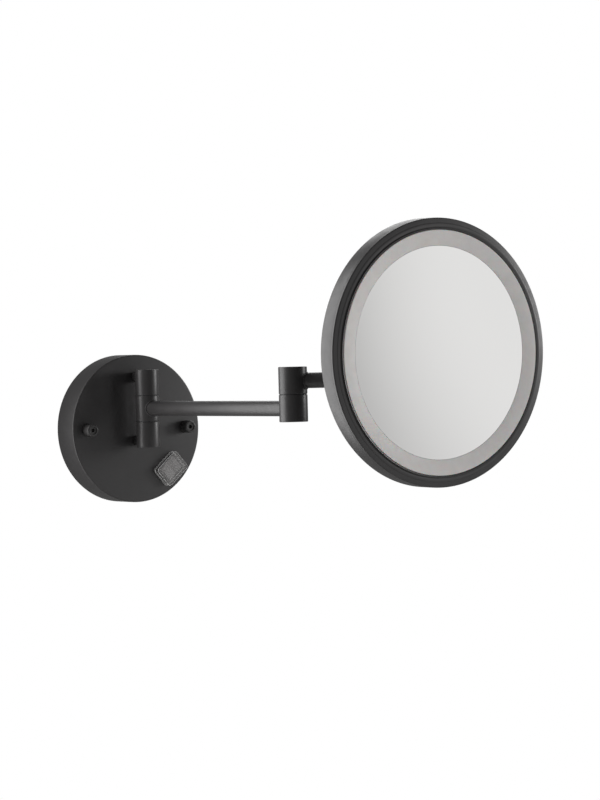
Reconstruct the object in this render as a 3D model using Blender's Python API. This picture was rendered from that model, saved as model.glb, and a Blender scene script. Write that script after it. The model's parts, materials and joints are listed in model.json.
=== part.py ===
"""Extendable shaving mirror: a wall plate, two swivelling arms and a round lit head that tilts.

Lengths below are in millimetres and MM turns them into metres. The origin is the centre of the
wall plate's back face, +Z is up and the mirror stands out from the wall along -Y.
Each moving piece hangs from an empty that stands on its joint's axis.
"""

import math

import bmesh
import bpy
from mathutils import Vector

MM = 0.001
GAP = 0.3

# How far a cutting tool stands beyond what it cuts
CLEAR = 2.0

# Sides of a large, a middling and a small round
LARGE = 64
MIDDLE = 28
SMALL = 16

# Wall plate
PLATE_RADIUS = 60.5
PLATE_DEPTH = 25.4
COVER_WALL = 1.8
COVER_FACE = 2.0
GASKET = 0.4
GASKET_INSIDE = 56.5
BRACKET_RADIUS = 53.0
BRACKET_THICKNESS = 2.0
FIXING_X = 46.9
STUD_RADIUS = 2.0
STUD_COLLAR = 3.6
STUD_COLLAR_TOP = 4.2
CAP_NUT_RADIUS = 5.1
CAP_NUT_HEIGHT = 9.0
CAP_NUT_END = 4.5
CABLE_ENTRY_Z = -26.0
CABLE_HOLE = 5.6
CABLE_BORE = 2.6
CABLE_LIP = 7.2
WALL_SCREW_SPREAD = 30.0
WALL_SLOT = (9.0, 6.0, 4.6)

# Lamp driver and terminal block behind the cover, as size and middle
DRIVER_SIZE = (34.0, 15.0, 20.0)
DRIVER_MIDDLE = (-26.0, -9.8, 23.0)
TERMINALS_SIZE = (24.0, 12.0, 13.0)
TERMINALS_MIDDLE = (-22.0, -8.3, -22.0)
TERMINAL_PITCH = 7.5

# Wall post: three stacked knuckles
POST_OUT = 43.0
POST_HEIGHT = 16.4
POST_RADIUS = 9.55
KNUCKLE_PITCH = 21.2
SEAM = 1.0
NECK_OFFSET = 26.0
NECK_WIDTH = 9.0
NECK_HEIGHT = 7.8
NECK_END = 8.2
SPIGOT_RADIUS = 3.8
SPIGOT_BACK = 17.0
SPIGOT_BORE = 1.7
SPIGOT_NUT_RADIUS = 7.4
SPIGOT_NUT_HEIGHT = 4.0
POST_FLOOR_UPPER = 18.0
POST_FLOOR_LOWER = -21.5

# Hollow pivot bolts, shared by the three upright hinges
PIN_RADIUS = 4.0
PIN_BORE = PIN_RADIUS + GAP
PIN_INSIDE = 2.4
PIN_HEAD_RADIUS = 7.0
PIN_HEAD_HEIGHT = 1.0
PIN_SPARE = 0.6
NUT_RADIUS = 6.6
NUT_HEIGHT = 3.0
WASHER_INSET = 0.9
END_CAP = 1.2
END_WALL = 0.65
END_STEP = 1.95
END_WELL = 1.8
EDGE = 0.35

# Arms
ARM_TUBE_RADIUS = 6.0
ARM_TUBE_BORE = 5.0
SOCKET_START = 5.6
SOCKET_END = 15.0
THIN_WALL_SOCKET = 6.0
THIN_WALL_START = 9.2
LEAD_RADIUS = 1.0
LEAD_HOLE = 1.8
LEAD_HOLE_END = 7.0
ARM_ONE = 211.0
ARM_ONE_TURN = -90.0
ARM_TWO = 86.4
ARM_TWO_TURN = 48.0
ARM_STEP = 21.3

# Elbow barrel and head barrel, heights counted from the axis of the arm that enters below
ELBOW_RADIUS = 11.0
ELBOW_BOTTOM = -10.2
ELBOW_SEAM = 10.4
ELBOW_TOP = 32.0
SWIVEL_RADIUS = 10.5
SWIVEL_BOTTOM = -10.6
SWIVEL_SEAM = 9.0
SWIVEL_TOP = 28.0
LOWER_FLOOR = -6.9
UPPER_FLOOR = 3.0

# Head
HEAD_TURN = 44.0
HEAD_DROOP = 0.86
HEAD_RISE = 19.0
TILT_OUT = 19.5
RIM_OUT = 42.9
TILT_KNUCKLE = 6.3
TILT_KNUCKLE_HALF = 3.6
TILT_EAR = 5.0
TILT_WASHER = 0.5
TILT_NECK_START = 9.0
TILT_NECK_HEIGHT = 9.0
TILT_PIN_RADIUS = 2.0
TILT_PIN_HEAD = 4.0
TILT_PIN_HEAD_HEIGHT = 2.0
TILT_NUT_RADIUS = 4.2
TILT_NUT_HEIGHT = 2.6
BRACKET_PLATE_RADIUS = 20.0
HEAD_RADIUS = 101.5
HEAD_DEPTH = 14.4
HEAD_FLOOR = 1.3
SHELL_FRONT = -1.9
BEZEL_INSIDE = 97.6
BEZEL_SKIRT = -6.0
RING_OUTER = 93.1
RING_HIDDEN = 94.8
RING_THICKNESS = 2.5
MIRROR_RADIUS = 81.0
GLASS_FRONT = 1.2
GLASS_THICKNESS = 3.0
MIRROR_SAG = 3.0
CARRIER_FRONT = -8.2
CARRIER_THICKNESS = 1.2
BOARD_BACK = -7.9
SEAT_TOP = -2.6
HEAD_LEAD_Z = -35.0
HEAD_LEAD_LOW = -81.6
HEAD_LEAD_RADIUS = 0.8
HEAD_HOLE = 3.3

# Rocker switch, low on the right of the wall plate
SWITCH_X = 30.3
SWITCH_Z = -34.0
SWITCH_TURN = 41.0
SWITCH_LENGTH = 20.6
SWITCH_WIDTH = 16.4
SWITCH_FLANGE = 1.5
SWITCH_BODY_LENGTH = 18.6
SWITCH_BODY_WIDTH = 15.2
SWITCH_BODY_DEPTH = 14.0
SWITCH_WELL_DEPTH = 7.0
WELL_SPARE_LENGTH = 1.6
WELL_SPARE_WIDTH = 0.8
BLADE_SIZE = (0.8, 4.6, 4.8)
BLADE_X = 5.0
ROCKER_LENGTH = 15.8
ROCKER_WIDTH = 13.4
ROCKER_REST = 8.0
ROCKER_AXIS_DEPTH = 1.0
BOOT_LENGTH = 24.4
BOOT_WIDTH = 18.8
BOOT_HEIGHT = 5.6
BOOT_WALL = 0.9
BOOT_ROUND = 1.2

# Turns that lay a piece's own +Z along another direction
UPRIGHT = (0.0, 0.0, 0.0)
FORWARD = (math.pi / 2, 0.0, 0.0)
SIDEWAYS = (0.0, math.pi / 2, 0.0)


def clear_scene():
    for item in list(bpy.data.objects):
        bpy.data.objects.remove(item, do_unlink=True)


def material(name, colour, metallic, roughness, alpha=1.0):
    made = bpy.data.materials.get(name)
    if made is None:
        made = bpy.data.materials.new(name)
        made.use_nodes = True
        shader = made.node_tree.nodes["Principled BSDF"]
        shader.inputs["Base Color"].default_value = (*colour, 1.0)
        shader.inputs["Metallic"].default_value = metallic
        shader.inputs["Roughness"].default_value = roughness
        shader.inputs["Alpha"].default_value = alpha
        made.diffuse_color = (*colour, alpha)
    return made


def bronze():
    return material("bronze", (0.060, 0.055, 0.058), 0.75, 0.35)


def brushed_steel():
    return material("brushed_steel", (0.55, 0.55, 0.56), 1.0, 0.30)


def brass():
    return material("brass", (0.72, 0.53, 0.25), 1.0, 0.30)


def aluminium():
    return material("aluminium", (0.72, 0.72, 0.73), 1.0, 0.40)


def nylon():
    return material("nylon", (0.030, 0.030, 0.032), 0.0, 0.50)


def black_rubber():
    return material("black_rubber", (0.020, 0.020, 0.020), 0.0, 0.80)


def white_plastic():
    return material("white_plastic", (0.78, 0.78, 0.76), 0.0, 0.45)


def grey_plastic():
    return material("grey_plastic", (0.62, 0.62, 0.63), 0.0, 0.35)


def clear_silicone():
    return material("clear_silicone", (0.90, 0.92, 0.93), 0.0, 0.15, 0.35)


def mirror_silver():
    return material("mirror_silver", (0.93, 0.93, 0.93), 1.0, 0.02)


def frosted_acrylic():
    return material("frosted_acrylic", (0.82, 0.80, 0.79), 0.0, 0.55)


def board_white():
    return material("board_white", (0.85, 0.85, 0.82), 0.0, 0.50)


def lead_sleeve():
    return material("lead_sleeve", (0.10, 0.10, 0.11), 0.0, 0.55)


def frame(name, parent, place, turn=0.0):
    """An empty on a joint's axis, at a place in its parent's frame and turned about its own Z in degrees."""
    empty = bpy.data.objects.new(name, None)
    bpy.context.scene.collection.objects.link(empty)
    empty.parent = parent
    empty.location = Vector(place) * MM
    empty.rotation_euler = (0.0, 0.0, math.radians(turn))
    return empty


def finish(name, mesh, parent, place, rotation, look):
    """Put a mesh into the scene as one piece."""
    mesh.shade_smooth()
    mesh.set_sharp_from_angle(angle=math.radians(35))
    piece = bpy.data.objects.new(name, mesh)
    bpy.context.scene.collection.objects.link(piece)
    piece.parent = parent
    piece.location = Vector(place) * MM
    piece.rotation_euler = rotation
    if look is not None:
        mesh.materials.append(look)
    return piece


def turned(name, outline, parent, place, rotation, look, steps=MIDDLE):
    """A closed outline of (radius, height) points, turned about the piece's own Z."""
    shape = bmesh.new()
    rings = []
    for radius, height in outline:
        if radius < 1e-6:
            rings.append([shape.verts.new((0.0, 0.0, height * MM))])
            continue
        ring = []
        for step in range(steps):
            angle = 2 * math.pi * step / steps
            point = Vector((radius * math.cos(angle), radius * math.sin(angle), height))
            ring.append(shape.verts.new(point * MM))
        rings.append(ring)
    for index, ring in enumerate(rings):
        following = rings[(index + 1) % len(rings)]
        level = abs(outline[index][1] - outline[(index + 1) % len(outline)][1]) < 1e-6
        if level and 1 in (len(ring), len(following)):
            shape.faces.new(ring if len(ring) > 1 else following)
            continue
        for step in range(steps):
            after = (step + 1) % steps
            if len(ring) > 1 and len(following) > 1:
                shape.faces.new((ring[step], ring[after], following[after], following[step]))
            elif len(ring) > 1:
                shape.faces.new((ring[step], ring[after], following[0]))
            elif len(following) > 1:
                shape.faces.new((ring[0], following[after], following[step]))
    for ring in rings:
        if len(ring) == 1 and not ring[0].link_faces:
            shape.verts.remove(ring[0])
    bmesh.ops.recalc_face_normals(shape, faces=shape.faces)
    mesh = bpy.data.meshes.new(name)
    shape.to_mesh(mesh)
    shape.free()
    return finish(name, mesh, parent, place, rotation, look)


def block(name, size, parent, place, rotation, look, rounding=0.0, rounding_steps=2):
    """A box centred on its place, with its edges rounded."""
    shape = bmesh.new()
    bmesh.ops.create_cube(shape, size=1.0)
    bmesh.ops.scale(shape, vec=Vector(size) * MM, verts=shape.verts)
    if rounding:
        bmesh.ops.bevel(
            shape,
            geom=shape.edges,
            offset=rounding * MM,
            segments=rounding_steps,
            profile=0.5,
            affect="EDGES",
        )
    mesh = bpy.data.meshes.new(name)
    shape.to_mesh(mesh)
    shape.free()
    return finish(name, mesh, parent, place, rotation, look)


def ring_outline(inner, outer, low, high, edge=0.0):
    """Outline of a disc or ring with its outer edges broken."""
    if not edge:
        return [(inner, low), (outer, low), (outer, high), (inner, high)]
    return [
        (inner, low),
        (outer - edge, low),
        (outer, low + edge),
        (outer, high - edge),
        (outer - edge, high),
        (inner, high),
    ]


def rod(name, radius, low, high, parent, place, rotation, steps=MIDDLE):
    """A plain round tool for cutting or joining."""
    return turned(name, ring_outline(0.0, radius, low, high), parent, place, rotation, None, steps)


def combine(piece, tool, operation):
    tool.hide_render = True
    tool.display_type = "WIRE"
    step = piece.modifiers.new(operation.lower() + "_" + tool.name, "BOOLEAN")
    step.operation = operation
    step.solver = "EXACT"
    step.object = tool


def cut(piece, tool):
    combine(piece, tool, "DIFFERENCE")


def join(piece, tool):
    combine(piece, tool, "UNION")


def drill(piece, radius, low, high, place, rotation, steps=SMALL):
    """Cut a round hole along the tool's own Z, placed in the piece's parent frame."""
    name = f"{piece.name}_hole_{len(piece.modifiers)}"
    cut(piece, rod(name, radius, low, high, piece.parent, place, rotation, steps))


def smooth_route(points, steps=3):
    """Points along a Catmull-Rom curve through the route's own points."""
    ends = [points[0]] + [Vector(p) for p in points] + [points[-1]]
    knots = [Vector(p) for p in ends]
    route = []
    for index in range(1, len(knots) - 2):
        before, start, end, after = knots[index - 1:index + 3]
        for step in range(steps):
            t = step / steps
            route.append(
                0.5
                * (
                    2 * start
                    + (end - before) * t
                    + (2 * before - 5 * start + 4 * end - after) * t * t
                    + (3 * start - before - 3 * end + after) * t * t * t
                )
            )
    route.append(knots[-1])
    return route


def lead(name, points, radius, parent):
    """A sleeved electric lead with closed ends."""
    curve = bpy.data.curves.new(name, "CURVE")
    curve.dimensions = "3D"
    curve.bevel_depth = radius * MM
    curve.bevel_resolution = 1
    curve.use_fill_caps = True
    spline = curve.splines.new("POLY")
    route = smooth_route(points)
    spline.points.add(len(route) - 1)
    for knot, point in zip(spline.points, route):
        knot.co = (*(point * MM), 1.0)
    curve.materials.append(lead_sleeve())
    piece = bpy.data.objects.new(name, curve)
    bpy.context.scene.collection.objects.link(piece)
    piece.parent = parent
    return piece


def make_wall_bracket(wall):
    """The steel disc that is screwed to the wall, its back face on the wall plane."""
    outline = ring_outline(0.0, BRACKET_RADIUS, 0.0, BRACKET_THICKNESS)
    plate = turned("mounting_plate", outline, wall, (0, 0, 0), FORWARD, brushed_steel(), LARGE)
    far = BRACKET_THICKNESS + CLEAR
    for side in (-1, 1):
        drill(plate, STUD_RADIUS + GAP, -CLEAR, far, (side * FIXING_X, 0, 0), FORWARD)
        for level in (-1, 1):
            middle = -BRACKET_THICKNESS / 2
            place = (side * WALL_SCREW_SPREAD, middle, level * WALL_SCREW_SPREAD)
            cut(plate, block(f"wall_slot_{side}_{level}", WALL_SLOT, wall, place, UPRIGHT, None))
    drill(plate, CABLE_HOLE, -CLEAR, far, (0, 0, CABLE_ENTRY_Z), FORWARD)


def make_gasket(wall):
    outline = ring_outline(GASKET_INSIDE, PLATE_RADIUS - GAP, 0.0, GASKET)
    turned("wall_gasket", outline, wall, (0, 0, 0), FORWARD, black_rubber(), LARGE)


def make_cable_grommet(wall):
    """The bush in the bracket's cable hole, with a lip in front."""
    back = 0.1
    lip = BRACKET_THICKNESS + GAP
    front = lip + 1.3
    outline = [
        (CABLE_BORE, back),
        (CABLE_HOLE - GAP, back),
        (CABLE_HOLE - GAP, lip),
        (CABLE_LIP, lip),
        (CABLE_LIP, front),
        (CABLE_BORE, front),
    ]
    turned("cable_grommet", outline, wall, (0, 0, CABLE_ENTRY_Z), FORWARD, black_rubber(), SMALL)


def make_cover(wall):
    """The deep round cover, open at the back, that the post and the switch sit on."""
    rear = GASKET + GAP
    inside = PLATE_RADIUS - COVER_WALL
    outline = [
        (0.0, PLATE_DEPTH - COVER_FACE),
        (inside, PLATE_DEPTH - COVER_FACE),
        (inside, rear),
        (PLATE_RADIUS, rear),
        (PLATE_RADIUS, PLATE_DEPTH - 0.9),
        (PLATE_RADIUS - 0.3, PLATE_DEPTH - 0.3),
        (PLATE_RADIUS - 0.9, PLATE_DEPTH),
        (0.0, PLATE_DEPTH),
    ]
    cover = turned("cover_shell", outline, wall, (0, 0, 0), FORWARD, bronze(), LARGE)
    low = PLATE_DEPTH - COVER_FACE - CLEAR
    high = PLATE_DEPTH + CLEAR
    for side in (-1, 1):
        drill(cover, STUD_RADIUS + GAP, low, high, (side * FIXING_X, 0, 0), FORWARD)
        neck = (0, 0, POST_HEIGHT + side * NECK_OFFSET)
        drill(cover, SPIGOT_RADIUS + GAP, low, high, neck, FORWARD)
    size = (SWITCH_BODY_LENGTH + 2 * GAP, 2 * CLEAR + COVER_FACE, SWITCH_BODY_WIDTH + 2 * GAP)
    place = (SWITCH_X, -PLATE_DEPTH, SWITCH_Z)
    window = block("switch_window", size, wall, place, (0, -math.radians(SWITCH_TURN), 0), None)
    cut(cover, window)


def make_stud(name, wall, place, top):
    """A threaded stud whose collar clamps it to the bracket."""
    collar = BRACKET_THICKNESS + GAP
    outline = [
        (0.0, 0.2),
        (STUD_RADIUS, 0.2),
        (STUD_RADIUS, collar),
        (STUD_COLLAR, collar),
        (STUD_COLLAR, STUD_COLLAR_TOP),
        (STUD_RADIUS, STUD_COLLAR_TOP),
        (STUD_RADIUS, top),
        (0.0, top),
    ]
    turned(name, outline, wall, place, FORWARD, brushed_steel(), SMALL)


def make_cap_nut(name, wall, place, low, inside):
    """A tall round cap nut, blind at its front, with a dished end."""
    bore = STUD_RADIUS + GAP
    top = low + CAP_NUT_HEIGHT
    outline = [
        (bore, low),
        (CAP_NUT_RADIUS - 0.2, low),
        (CAP_NUT_RADIUS, low + 0.3),
        (CAP_NUT_RADIUS, top - 1.2),
        (CAP_NUT_RADIUS - 0.4, top - 0.4),
        (CAP_NUT_RADIUS - 1.2, top),
        (3.2, top),
        (2.6, top - 1.2),
        (0.0, top - 1.2),
        (0.0, inside),
        (bore, inside),
    ]
    turned(name, outline, wall, place, FORWARD, bronze(), 20)


def make_cover_fixings(wall):
    """Two studs on the bracket and the cap nuts that pull the cover on."""
    face = PLATE_DEPTH + GAP
    inside = face + CAP_NUT_END
    for side, word in ((-1, "left"), (1, "right")):
        place = (side * FIXING_X, 0, 0)
        make_stud(f"stud_{word}", wall, place, inside - GAP)
        make_cap_nut(f"cap_nut_{word}", wall, place, face, inside)


def make_driver(wall):
    """The lamp driver and the terminal block with its three screw wells."""
    block("led_driver", DRIVER_SIZE, wall, DRIVER_MIDDLE, UPRIGHT, white_plastic(), 1.0, 1)
    middle = TERMINALS_MIDDLE
    terminals = block("terminal_block", TERMINALS_SIZE, wall, middle, UPRIGHT, white_plastic(), 0.6, 1)
    front = TERMINALS_SIZE[1] / 2 - middle[1]
    for way in (-1, 0, 1):
        place = (middle[0] + way * TERMINAL_PITCH, 0, middle[2])
        drill(terminals, 2.0, front - 5.0, front + CLEAR, place, FORWARD, 8)


def barrel_half(radius, seam, end, floor):
    """Outline of a barrel half: bored at its seam, hollow behind its floor, open at its end."""
    way = 1 if end > seam else -1
    rim = radius - END_WALL
    well = radius - END_STEP
    return [
        (PIN_BORE, seam),
        (radius - EDGE, seam),
        (radius, seam + way * EDGE),
        (radius, end - way * EDGE),
        (radius - EDGE, end),
        (rim, end),
        (rim, end - way * END_WELL),
        (well, end - way * END_WELL),
        (well, floor),
        (PIN_BORE, floor),
    ]


def end_cap(name, radius, end, way, parent, place):
    """The disc that closes a barrel's end, just below its rim."""
    outer = end - way * GAP
    inner = outer - way * END_CAP
    outline = ring_outline(0.0, radius - END_WALL - GAP, min(inner, outer), max(inner, outer))
    turned(name, outline, parent, place, UPRIGHT, bronze())


def nut(name, low, parent, place, rotation, radius, bore, height):
    """A six-sided nut standing on a given height of its own axis."""
    outline = ring_outline(0.0, radius, low, low + height)
    piece = turned(name, outline, parent, place, rotation, brass(), 6)
    drill(piece, bore, low - CLEAR, low + height + CLEAR, place, rotation)


def pivot_bolt(name, lower_floor, upper_floor, window, parent, place):
    """A hollow bolt and its nut; the bolt has a window where the arm's lead turns into it."""
    head = lower_floor - GAP
    low = upper_floor + GAP
    end = low + NUT_HEIGHT + PIN_SPARE
    outline = [
        (PIN_INSIDE, head - PIN_HEAD_HEIGHT),
        (PIN_HEAD_RADIUS, head - PIN_HEAD_HEIGHT),
        (PIN_HEAD_RADIUS, head),
        (PIN_RADIUS, head),
        (PIN_RADIUS, end),
        (PIN_INSIDE, end),
    ]
    bolt = turned(f"{name}_bolt", outline, parent, place, UPRIGHT, brass(), 20)
    drill(bolt, LEAD_HOLE, min(0, window), max(0, window), place, SIDEWAYS, 12)
    nut(f"{name}_nut", low, parent, place, UPRIGHT, NUT_RADIUS, PIN_BORE, NUT_HEIGHT)


def seam_washer(name, low, radius, parent, place):
    outline = ring_outline(PIN_BORE, radius, low + GAP, low + SEAM - GAP)
    turned(name, outline, parent, place, UPRIGHT, nylon())


def make_wall_knuckles(wall, post):
    """The two outer knuckles, each on a neck whose spigot is clamped to the cover by a nut."""
    end = 1.5 * KNUCKLE_PITCH
    seam = KNUCKLE_PITCH / 2 + SEAM / 2
    near = POST_OUT - NECK_END
    far = PLATE_DEPTH + GAP
    low = PLATE_DEPTH - COVER_FACE - GAP - SPIGOT_NUT_HEIGHT
    for way, word, floor in ((1, "upper", POST_FLOOR_UPPER), (-1, "lower", POST_FLOOR_LOWER)):
        outline = barrel_half(POST_RADIUS, way * seam, way * end, floor)
        knuckle = turned(f"wall_knuckle_{word}", outline, wall, post, UPRIGHT, bronze())
        level = (0, 0, POST_HEIGHT + way * NECK_OFFSET)
        size = (NECK_WIDTH, near - far, NECK_HEIGHT)
        middle = (0, -(near + far) / 2, level[2])
        join(knuckle, block(f"neck_{word}", size, wall, middle, UPRIGHT, None, 1.2, 2))
        spigot = rod(f"spigot_{word}", SPIGOT_RADIUS, SPIGOT_BACK, far + CLEAR, wall, level, FORWARD, SMALL)
        join(knuckle, spigot)
        if word == "lower":
            drill(knuckle, SPIGOT_BORE, SPIGOT_BACK - CLEAR, POST_OUT - 5.0, level, FORWARD, 12)
        bore = SPIGOT_RADIUS + GAP
        nut(f"spigot_nut_{word}", low, wall, level, FORWARD, SPIGOT_NUT_RADIUS, bore, SPIGOT_NUT_HEIGHT)
        end_cap(f"post_cap_{word}", POST_RADIUS, way * end, way, wall, post)


def make_wall_lead(wall):
    """The lead from the driver, through the lower neck and up into the post's hollow bolt."""
    level = POST_HEIGHT - NECK_OFFSET
    points = [
        (-8.0, -12.0, 20.0),
        (-4.0, -12.0, 12.0),
        (0.0, -11.5, level + 6.0),
        (0.0, -12.5, level + 1.0),
        (0.0, -15.0, level),
        (0.0, -20.0, level),
        (0.0, -28.0, level),
        (0.0, -36.0, level),
        (0.0, -40.5, level),
        (0.0, -42.6, level + 1.2),
        (0.0, -POST_OUT, level + 3.2),
        (0.0, -POST_OUT, level + 6.4),
    ]
    lead("wall_lead", points, LEAD_RADIUS, wall)


def arm_tube(name, start, end, parent):
    outline = [
        (ARM_TUBE_BORE, start),
        (ARM_TUBE_RADIUS, start),
        (ARM_TUBE_RADIUS, end),
        (ARM_TUBE_BORE, end),
    ]
    turned(name, outline, parent, (0, 0, 0), SIDEWAYS, bronze())


def socket(piece, place, way, start=SOCKET_START):
    """Bores a tube's socket into a barrel, along X on one side."""
    low, high = sorted((way * start, way * SOCKET_END))
    drill(piece, ARM_TUBE_RADIUS + GAP, low, high, place, SIDEWAYS, MIDDLE)


def lead_way(piece, place, way):
    """The hole that takes a lead from a tube to the pivot bolt."""
    low, high = sorted((way * LEAD_RADIUS, way * LEAD_HOLE_END))
    drill(piece, LEAD_HOLE, low, high, place, SIDEWAYS, 12)


def make_arm_one(arm):
    """The long arm: the post's middle knuckle, the tube and the elbow's lower half."""
    high = KNUCKLE_PITCH / 2 - SEAM / 2
    outline = ring_outline(PIN_BORE, POST_RADIUS, -high, high, EDGE)
    knuckle = turned("arm_one_knuckle", outline, arm, (0, 0, 0), UPRIGHT, bronze())
    socket(knuckle, (0, 0, 0), 1)
    lead_way(knuckle, (0, 0, 0), 1)
    pivot_bolt("post", POST_FLOOR_LOWER, POST_FLOOR_UPPER, SOCKET_START, arm, (0, 0, 0))
    for low, word in ((high, "upper"), (-high - SEAM, "lower")):
        seam_washer(f"post_washer_{word}", low, POST_RADIUS - WASHER_INSET, arm, (0, 0, 0))
    reach = SOCKET_START + GAP
    arm_tube("arm_one_tube", reach, ARM_ONE - reach, arm)

    elbow = (ARM_ONE, 0, 0)
    outline = barrel_half(ELBOW_RADIUS, ELBOW_SEAM, ELBOW_BOTTOM, LOWER_FLOOR)
    lower = turned("elbow_lower", outline, arm, elbow, UPRIGHT, bronze())
    socket(lower, elbow, -1)
    lead_way(lower, elbow, -1)
    pivot_bolt("elbow", LOWER_FLOOR, ELBOW_SEAM + SEAM + UPPER_FLOOR, -SOCKET_START, arm, elbow)
    seam_washer("elbow_washer", ELBOW_SEAM, ELBOW_RADIUS - WASHER_INSET, arm, elbow)
    end_cap("elbow_cap_bottom", ELBOW_RADIUS, ELBOW_BOTTOM, -1, arm, elbow)


def make_arm_one_lead(arm):
    """The lead up the post's bolt, along the tube and up the elbow's bolt."""
    points = [
        (0.0, 0.0, -16.6),
        (0.0, 0.0, -10.0),
        (0.0, 0.0, -4.5),
        (0.6, 0.0, -1.4),
        (2.6, 0.0, 0.0),
        (8.0, 0.0, 0.0),
        (40.0, 0.0, -1.5),
        (105.0, 0.0, -3.0),
        (170.0, 0.0, -1.5),
        (ARM_ONE - 8.0, 0.0, 0.0),
        (ARM_ONE - 2.6, 0.0, 0.0),
        (ARM_ONE - 0.6, 0.0, 1.4),
        (ARM_ONE, 0.0, 4.5),
        (ARM_ONE, 0.0, 10.0),
        (ARM_ONE, 0.0, 14.7),
    ]
    lead("arm_one_lead", points, LEAD_RADIUS, arm)


def make_arm_two(arm):
    """The short arm: the elbow's upper half, the tube and the head barrel's lower half."""
    hub = (0, 0, -ARM_STEP)
    seam = ELBOW_SEAM + SEAM
    outline = barrel_half(ELBOW_RADIUS, seam, ELBOW_TOP, seam + UPPER_FLOOR)
    upper = turned("elbow_upper", outline, arm, hub, UPRIGHT, bronze())
    socket(upper, (0, 0, 0), 1, THIN_WALL_SOCKET)
    end_cap("elbow_cap_top", ELBOW_RADIUS, ELBOW_TOP, 1, arm, hub)
    arm_tube("arm_two_tube", THIN_WALL_START, ARM_TWO - SOCKET_START - GAP, arm)

    end = (ARM_TWO, 0, 0)
    outline = barrel_half(SWIVEL_RADIUS, SWIVEL_SEAM, SWIVEL_BOTTOM, LOWER_FLOOR)
    lower = turned("swivel_lower", outline, arm, end, UPRIGHT, bronze())
    socket(lower, end, -1)
    lead_way(lower, end, -1)
    pivot_bolt("swivel", LOWER_FLOOR, SWIVEL_SEAM + SEAM + UPPER_FLOOR, -SOCKET_START, arm, end)
    seam_washer("swivel_washer", SWIVEL_SEAM, SWIVEL_RADIUS - WASHER_INSET, arm, end)
    end_cap("swivel_cap_bottom", SWIVEL_RADIUS, SWIVEL_BOTTOM, -1, arm, end)


def make_arm_two_lead(arm):
    """The lead from the elbow, along the short tube and up the head barrel's bolt."""
    points = [
        (0.0, 0.0, -6.2),
        (0.0, 0.0, -3.6),
        (0.8, 0.0, -1.2),
        (3.2, 0.0, 0.0),
        (10.0, 0.0, 0.0),
        (43.0, 0.0, -2.0),
        (ARM_TWO - 8.0, 0.0, 0.0),
        (ARM_TWO - 2.6, 0.0, 0.0),
        (ARM_TWO - 0.6, 0.0, 1.4),
        (ARM_TWO, 0.0, 4.5),
        (ARM_TWO, 0.0, 10.0),
        (ARM_TWO, 0.0, 20.0),
    ]
    lead("arm_two_lead", points, LEAD_RADIUS, arm)


def make_swivel(swivel):
    """The head barrel's upper half with the middle knuckle of the tilt hinge in front of it."""
    seam = SWIVEL_SEAM + SEAM
    outline = barrel_half(SWIVEL_RADIUS, seam, SWIVEL_TOP, seam + UPPER_FLOOR)
    upper = turned("swivel_upper", outline, swivel, (0, 0, 0), UPRIGHT, bronze())
    half = TILT_KNUCKLE_HALF
    size = (2 * half, TILT_OUT - TILT_NECK_START, TILT_NECK_HEIGHT)
    middle = (0, -(TILT_OUT + TILT_NECK_START) / 2, HEAD_RISE)
    join(upper, block("tilt_neck", size, swivel, middle, UPRIGHT, None))
    tilt = (0, -TILT_OUT, HEAD_RISE)
    join(upper, rod("tilt_middle", TILT_KNUCKLE, -half, half, swivel, tilt, SIDEWAYS))
    drill(upper, TILT_PIN_RADIUS + GAP, -half - CLEAR, half + CLEAR, tilt, SIDEWAYS)
    end_cap("swivel_cap_top", SWIVEL_RADIUS, SWIVEL_TOP, 1, swivel, (0, 0, 0))


def make_tilt_pin(head, outer):
    """The pin through both ears and the nut that sets the tilt's friction."""
    low = -outer - GAP
    end = outer + GAP + TILT_NUT_HEIGHT + 0.5
    outline = [
        (0.0, low - TILT_PIN_HEAD_HEIGHT),
        (TILT_PIN_HEAD - 0.4, low - TILT_PIN_HEAD_HEIGHT),
        (TILT_PIN_HEAD, low - TILT_PIN_HEAD_HEIGHT + 0.4),
        (TILT_PIN_HEAD, low),
        (TILT_PIN_RADIUS, low),
        (TILT_PIN_RADIUS, end),
        (0.0, end),
    ]
    turned("tilt_pin", outline, head, (0, 0, 0), SIDEWAYS, brushed_steel(), SMALL)
    bore = TILT_PIN_RADIUS + GAP
    nut("tilt_nut", outer + GAP, head, (0, 0, 0), SIDEWAYS, TILT_NUT_RADIUS, bore, TILT_NUT_HEIGHT)


def make_tilt_bracket(head):
    """The two-eared bracket on the head's back, with its friction washers and pin."""
    front = RIM_OUT - TILT_OUT - HEAD_DEPTH - GAP
    back = TILT_KNUCKLE + GAP
    outline = ring_outline(0.0, BRACKET_PLATE_RADIUS, back, front, 0.4)
    bracket = turned("tilt_bracket", outline, head, (0, 0, 0), FORWARD, bronze(), 32)
    inner = TILT_KNUCKLE_HALF + TILT_WASHER + 2 * GAP
    outer = inner + TILT_EAR
    root = back + 1.0
    for side, word in ((-1, "left"), (1, "right")):
        low, high = sorted((side * inner, side * outer))
        join(bracket, rod(f"ear_{word}", TILT_KNUCKLE, low, high, head, (0, 0, 0), SIDEWAYS))
        size = (TILT_EAR, root, 2 * TILT_KNUCKLE - 0.4)
        place = (side * (inner + outer) / 2, -root / 2, 0)
        join(bracket, block(f"ear_root_{word}", size, head, place, UPRIGHT, None))
        start = TILT_KNUCKLE_HALF + GAP
        low, high = sorted((side * start, side * (start + TILT_WASHER)))
        outline = ring_outline(TILT_PIN_RADIUS + GAP, TILT_KNUCKLE - 0.8, low, high)
        turned(f"tilt_washer_{word}", outline, head, (0, 0, 0), SIDEWAYS, nylon(), SMALL)
    drill(bracket, TILT_PIN_RADIUS + GAP, -outer - CLEAR, outer + CLEAR, (0, 0, 0), SIDEWAYS)
    make_tilt_pin(head, outer)


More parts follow.
